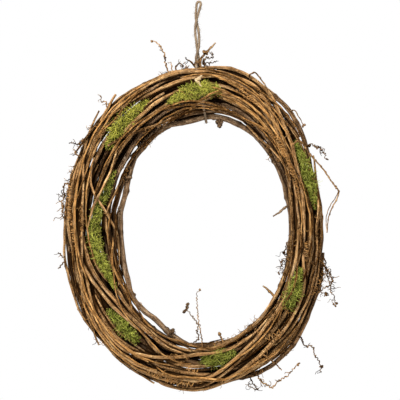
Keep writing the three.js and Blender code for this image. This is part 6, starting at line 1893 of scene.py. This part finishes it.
class WREATH_OT_twine(bpy.types.Operator):
    """Makes the twine: the tie round the bundle with its knot, and the hanging loop"""

    bl_idname = "wreath.twine"
    bl_label = "Make the Twine"

    def execute(self, context):
        settings = context.scene.wreath_twine
        material = twine_material("twine_fibres", settings)
        pitch = settings.pitch * 1000
        shell = Shell()
        ring = spline(TIE_ROUTE, TIE_POINTS)
        add_twine(shell, ring, TWINE_DIAMETER, pitch, TIE_AROUND)
        for lean, height in KNOT_TURNS:
            add_twine(shell, knot_turn(lean, height), TWINE_DIAMETER * 0.9, pitch, TIE_AROUND)
        for turn in TIE_END_PAIRS:
            for line in two_sides(np.array(TIE_ENDS) + (0, turn, 0, 0)):
                end = spline(line, END_POINTS)
                add_twine(shell, end, TWINE_DIAMETER, pitch, TIE_AROUND)
                add_hairs(shell, end, TWINE_DIAMETER, END_HAIRS, int(line[0, 0] * 10) + 90)
        add_hairs(shell, ring, TWINE_DIAMETER, TIE_HAIRS, 8)
        piece = finished(shell, "twine_tie_plied", material)
        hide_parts("twine_tie")
        shell = Shell()
        line = spline(hanger_route(), LOOP_POINTS)
        add_twine(shell, line, TWINE_DIAMETER, pitch, LOOP_AROUND)
        piece = finished(shell, "twine_hanger_plied", material)
        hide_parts("twine_hanger")
        shell = Shell()
        add_hairs(shell, line, TWINE_DIAMETER, LOOP_HAIRS, 9)
        finished(shell, "twine_hairs", material)
        return {"FINISHED"}


class WREATH_OT_stage(bpy.types.Operator):
    """Makes the floor, the soft studio lights and the camera"""

    bl_idname = "wreath.stage"
    bl_label = "Make the Stage"

    def execute(self, context):
        settings = context.scene.wreath_stage
        self.floor(settings)
        for light in LIGHTS:
            self.light(*light)
        self.world(context.scene)
        self.camera(context.scene, settings)
        context.scene.view_settings.view_transform = "Standard"
        return {"FINISHED"}

    def floor(self, settings):
        """A round floor: a flat fan, well under the hanging wreath."""
        mesh = bpy.data.meshes.new("studio_floor")
        t = TURN * np.arange(FLOOR_CORNERS) / FLOOR_CORNERS
        rim = np.stack([FLOOR_RADIUS * np.cos(t), FLOOR_RADIUS * np.sin(t), 0 * t + FLOOR_HEIGHT], -1)
        mesh.from_pydata(rim.tolist(), [], [list(range(FLOOR_CORNERS))])
        material, n, shader = new_material("studio_floor")
        n.fill(shader, {"Base Color": (*settings.floor, 1), "Roughness": 0.9})
        mesh.materials.append(material)
        floor = bpy.data.objects.new("studio_floor", mesh)
        bpy.context.scene.collection.objects.link(floor)

    def light(self, name, place, size, power):
        """A round area light that faces the aimed point."""
        data = bpy.data.lights.new(name, "AREA")
        data.shape = "DISK"
        data.size = size
        data.energy = power
        lamp = bpy.data.objects.new(name, data)
        lamp.location = place
        lamp.rotation_euler = (Vector(AIM) - Vector(place)).to_track_quat("-Z", "Y").to_euler()
        bpy.context.scene.collection.objects.link(lamp)

    def world(self, scene):
        """A world that the camera sees as white and that lights by its own strength."""
        world = bpy.data.worlds.new("studio")
        world.use_nodes = True
        n = Nodes(world.node_tree)
        seen = n.add("ShaderNodeLightPath").outputs["Is Camera Ray"]
        strength = n.add("ShaderNodeMapRange", {"Value": seen, "To Min": WORLD_LIGHT, "To Max": 1.0})
        n.fill(world.node_tree.nodes["Background"],
               {"Color": (1, 1, 1, 1), "Strength": strength.outputs["Result"]})
        scene.world = world

    def camera(self, scene, settings):
        """A camera straight in front: its lens is the sensor times distance over frame size."""
        data = bpy.data.cameras.new("camera")
        data.sensor_width = SENSOR
        data.lens = SENSOR * settings.distance / FRAME_SIZE
        camera = bpy.data.objects.new("camera", data)
        camera.location = (FRAME_CENTRE[0], -settings.distance, FRAME_CENTRE[1])
        camera.rotation_euler = (math.pi / 2, 0, 0)
        scene.collection.objects.link(camera)
        scene.camera = camera


class WREATH_PT_panel(bpy.types.Panel):
    """Lists each group of settings with its operator"""
    bl_label = "Grapevine Wreath"
    bl_idname = "WREATH_PT_panel"
    bl_space_type = "VIEW_3D"
    bl_region_type = "UI"
    bl_category = "Wreath"

    def draw(self, context):
        for key in SETTINGS:
            settings = getattr(context.scene, key)
            for name in settings.__annotations__:
                self.layout.prop(settings, name)
            self.layout.operator(key.replace("_", "."))


SETTINGS = {
    "wreath_canes": CaneSettings,
    "wreath_vines": VineSettings,
    "wreath_tendrils": TendrilSettings,
    "wreath_moss": MossSettings,
    "wreath_twine": TwineSettings,
    "wreath_stage": StageSettings,
}
CLASSES = (*SETTINGS.values(), WREATH_OT_canes, WREATH_OT_vines, WREATH_OT_tendrils,
           WREATH_OT_moss, WREATH_OT_twine, WREATH_OT_stage, WREATH_PT_panel)


def register():
    """Registers the classes and puts the settings on the scene."""
    for cls in CLASSES:
        bpy.utils.register_class(cls)
    for key, cls in SETTINGS.items():
        setattr(bpy.types.Scene, key, PointerProperty(type=cls))


def unregister():
    """Takes the settings off the scene and the classes away."""
    for key in SETTINGS:
        delattr(bpy.types.Scene, key)
    for cls in reversed(CLASSES):
        bpy.utils.unregister_class(cls)


def main():
    register()
    bpy.ops.wreath.stage()
    bpy.ops.wreath.twine()
    bpy.ops.wreath.canes()
    bpy.ops.wreath.vines()
    bpy.ops.wreath.tendrils()
    bpy.ops.wreath.moss()
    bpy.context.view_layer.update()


if __name__ == "__main__":
    main()
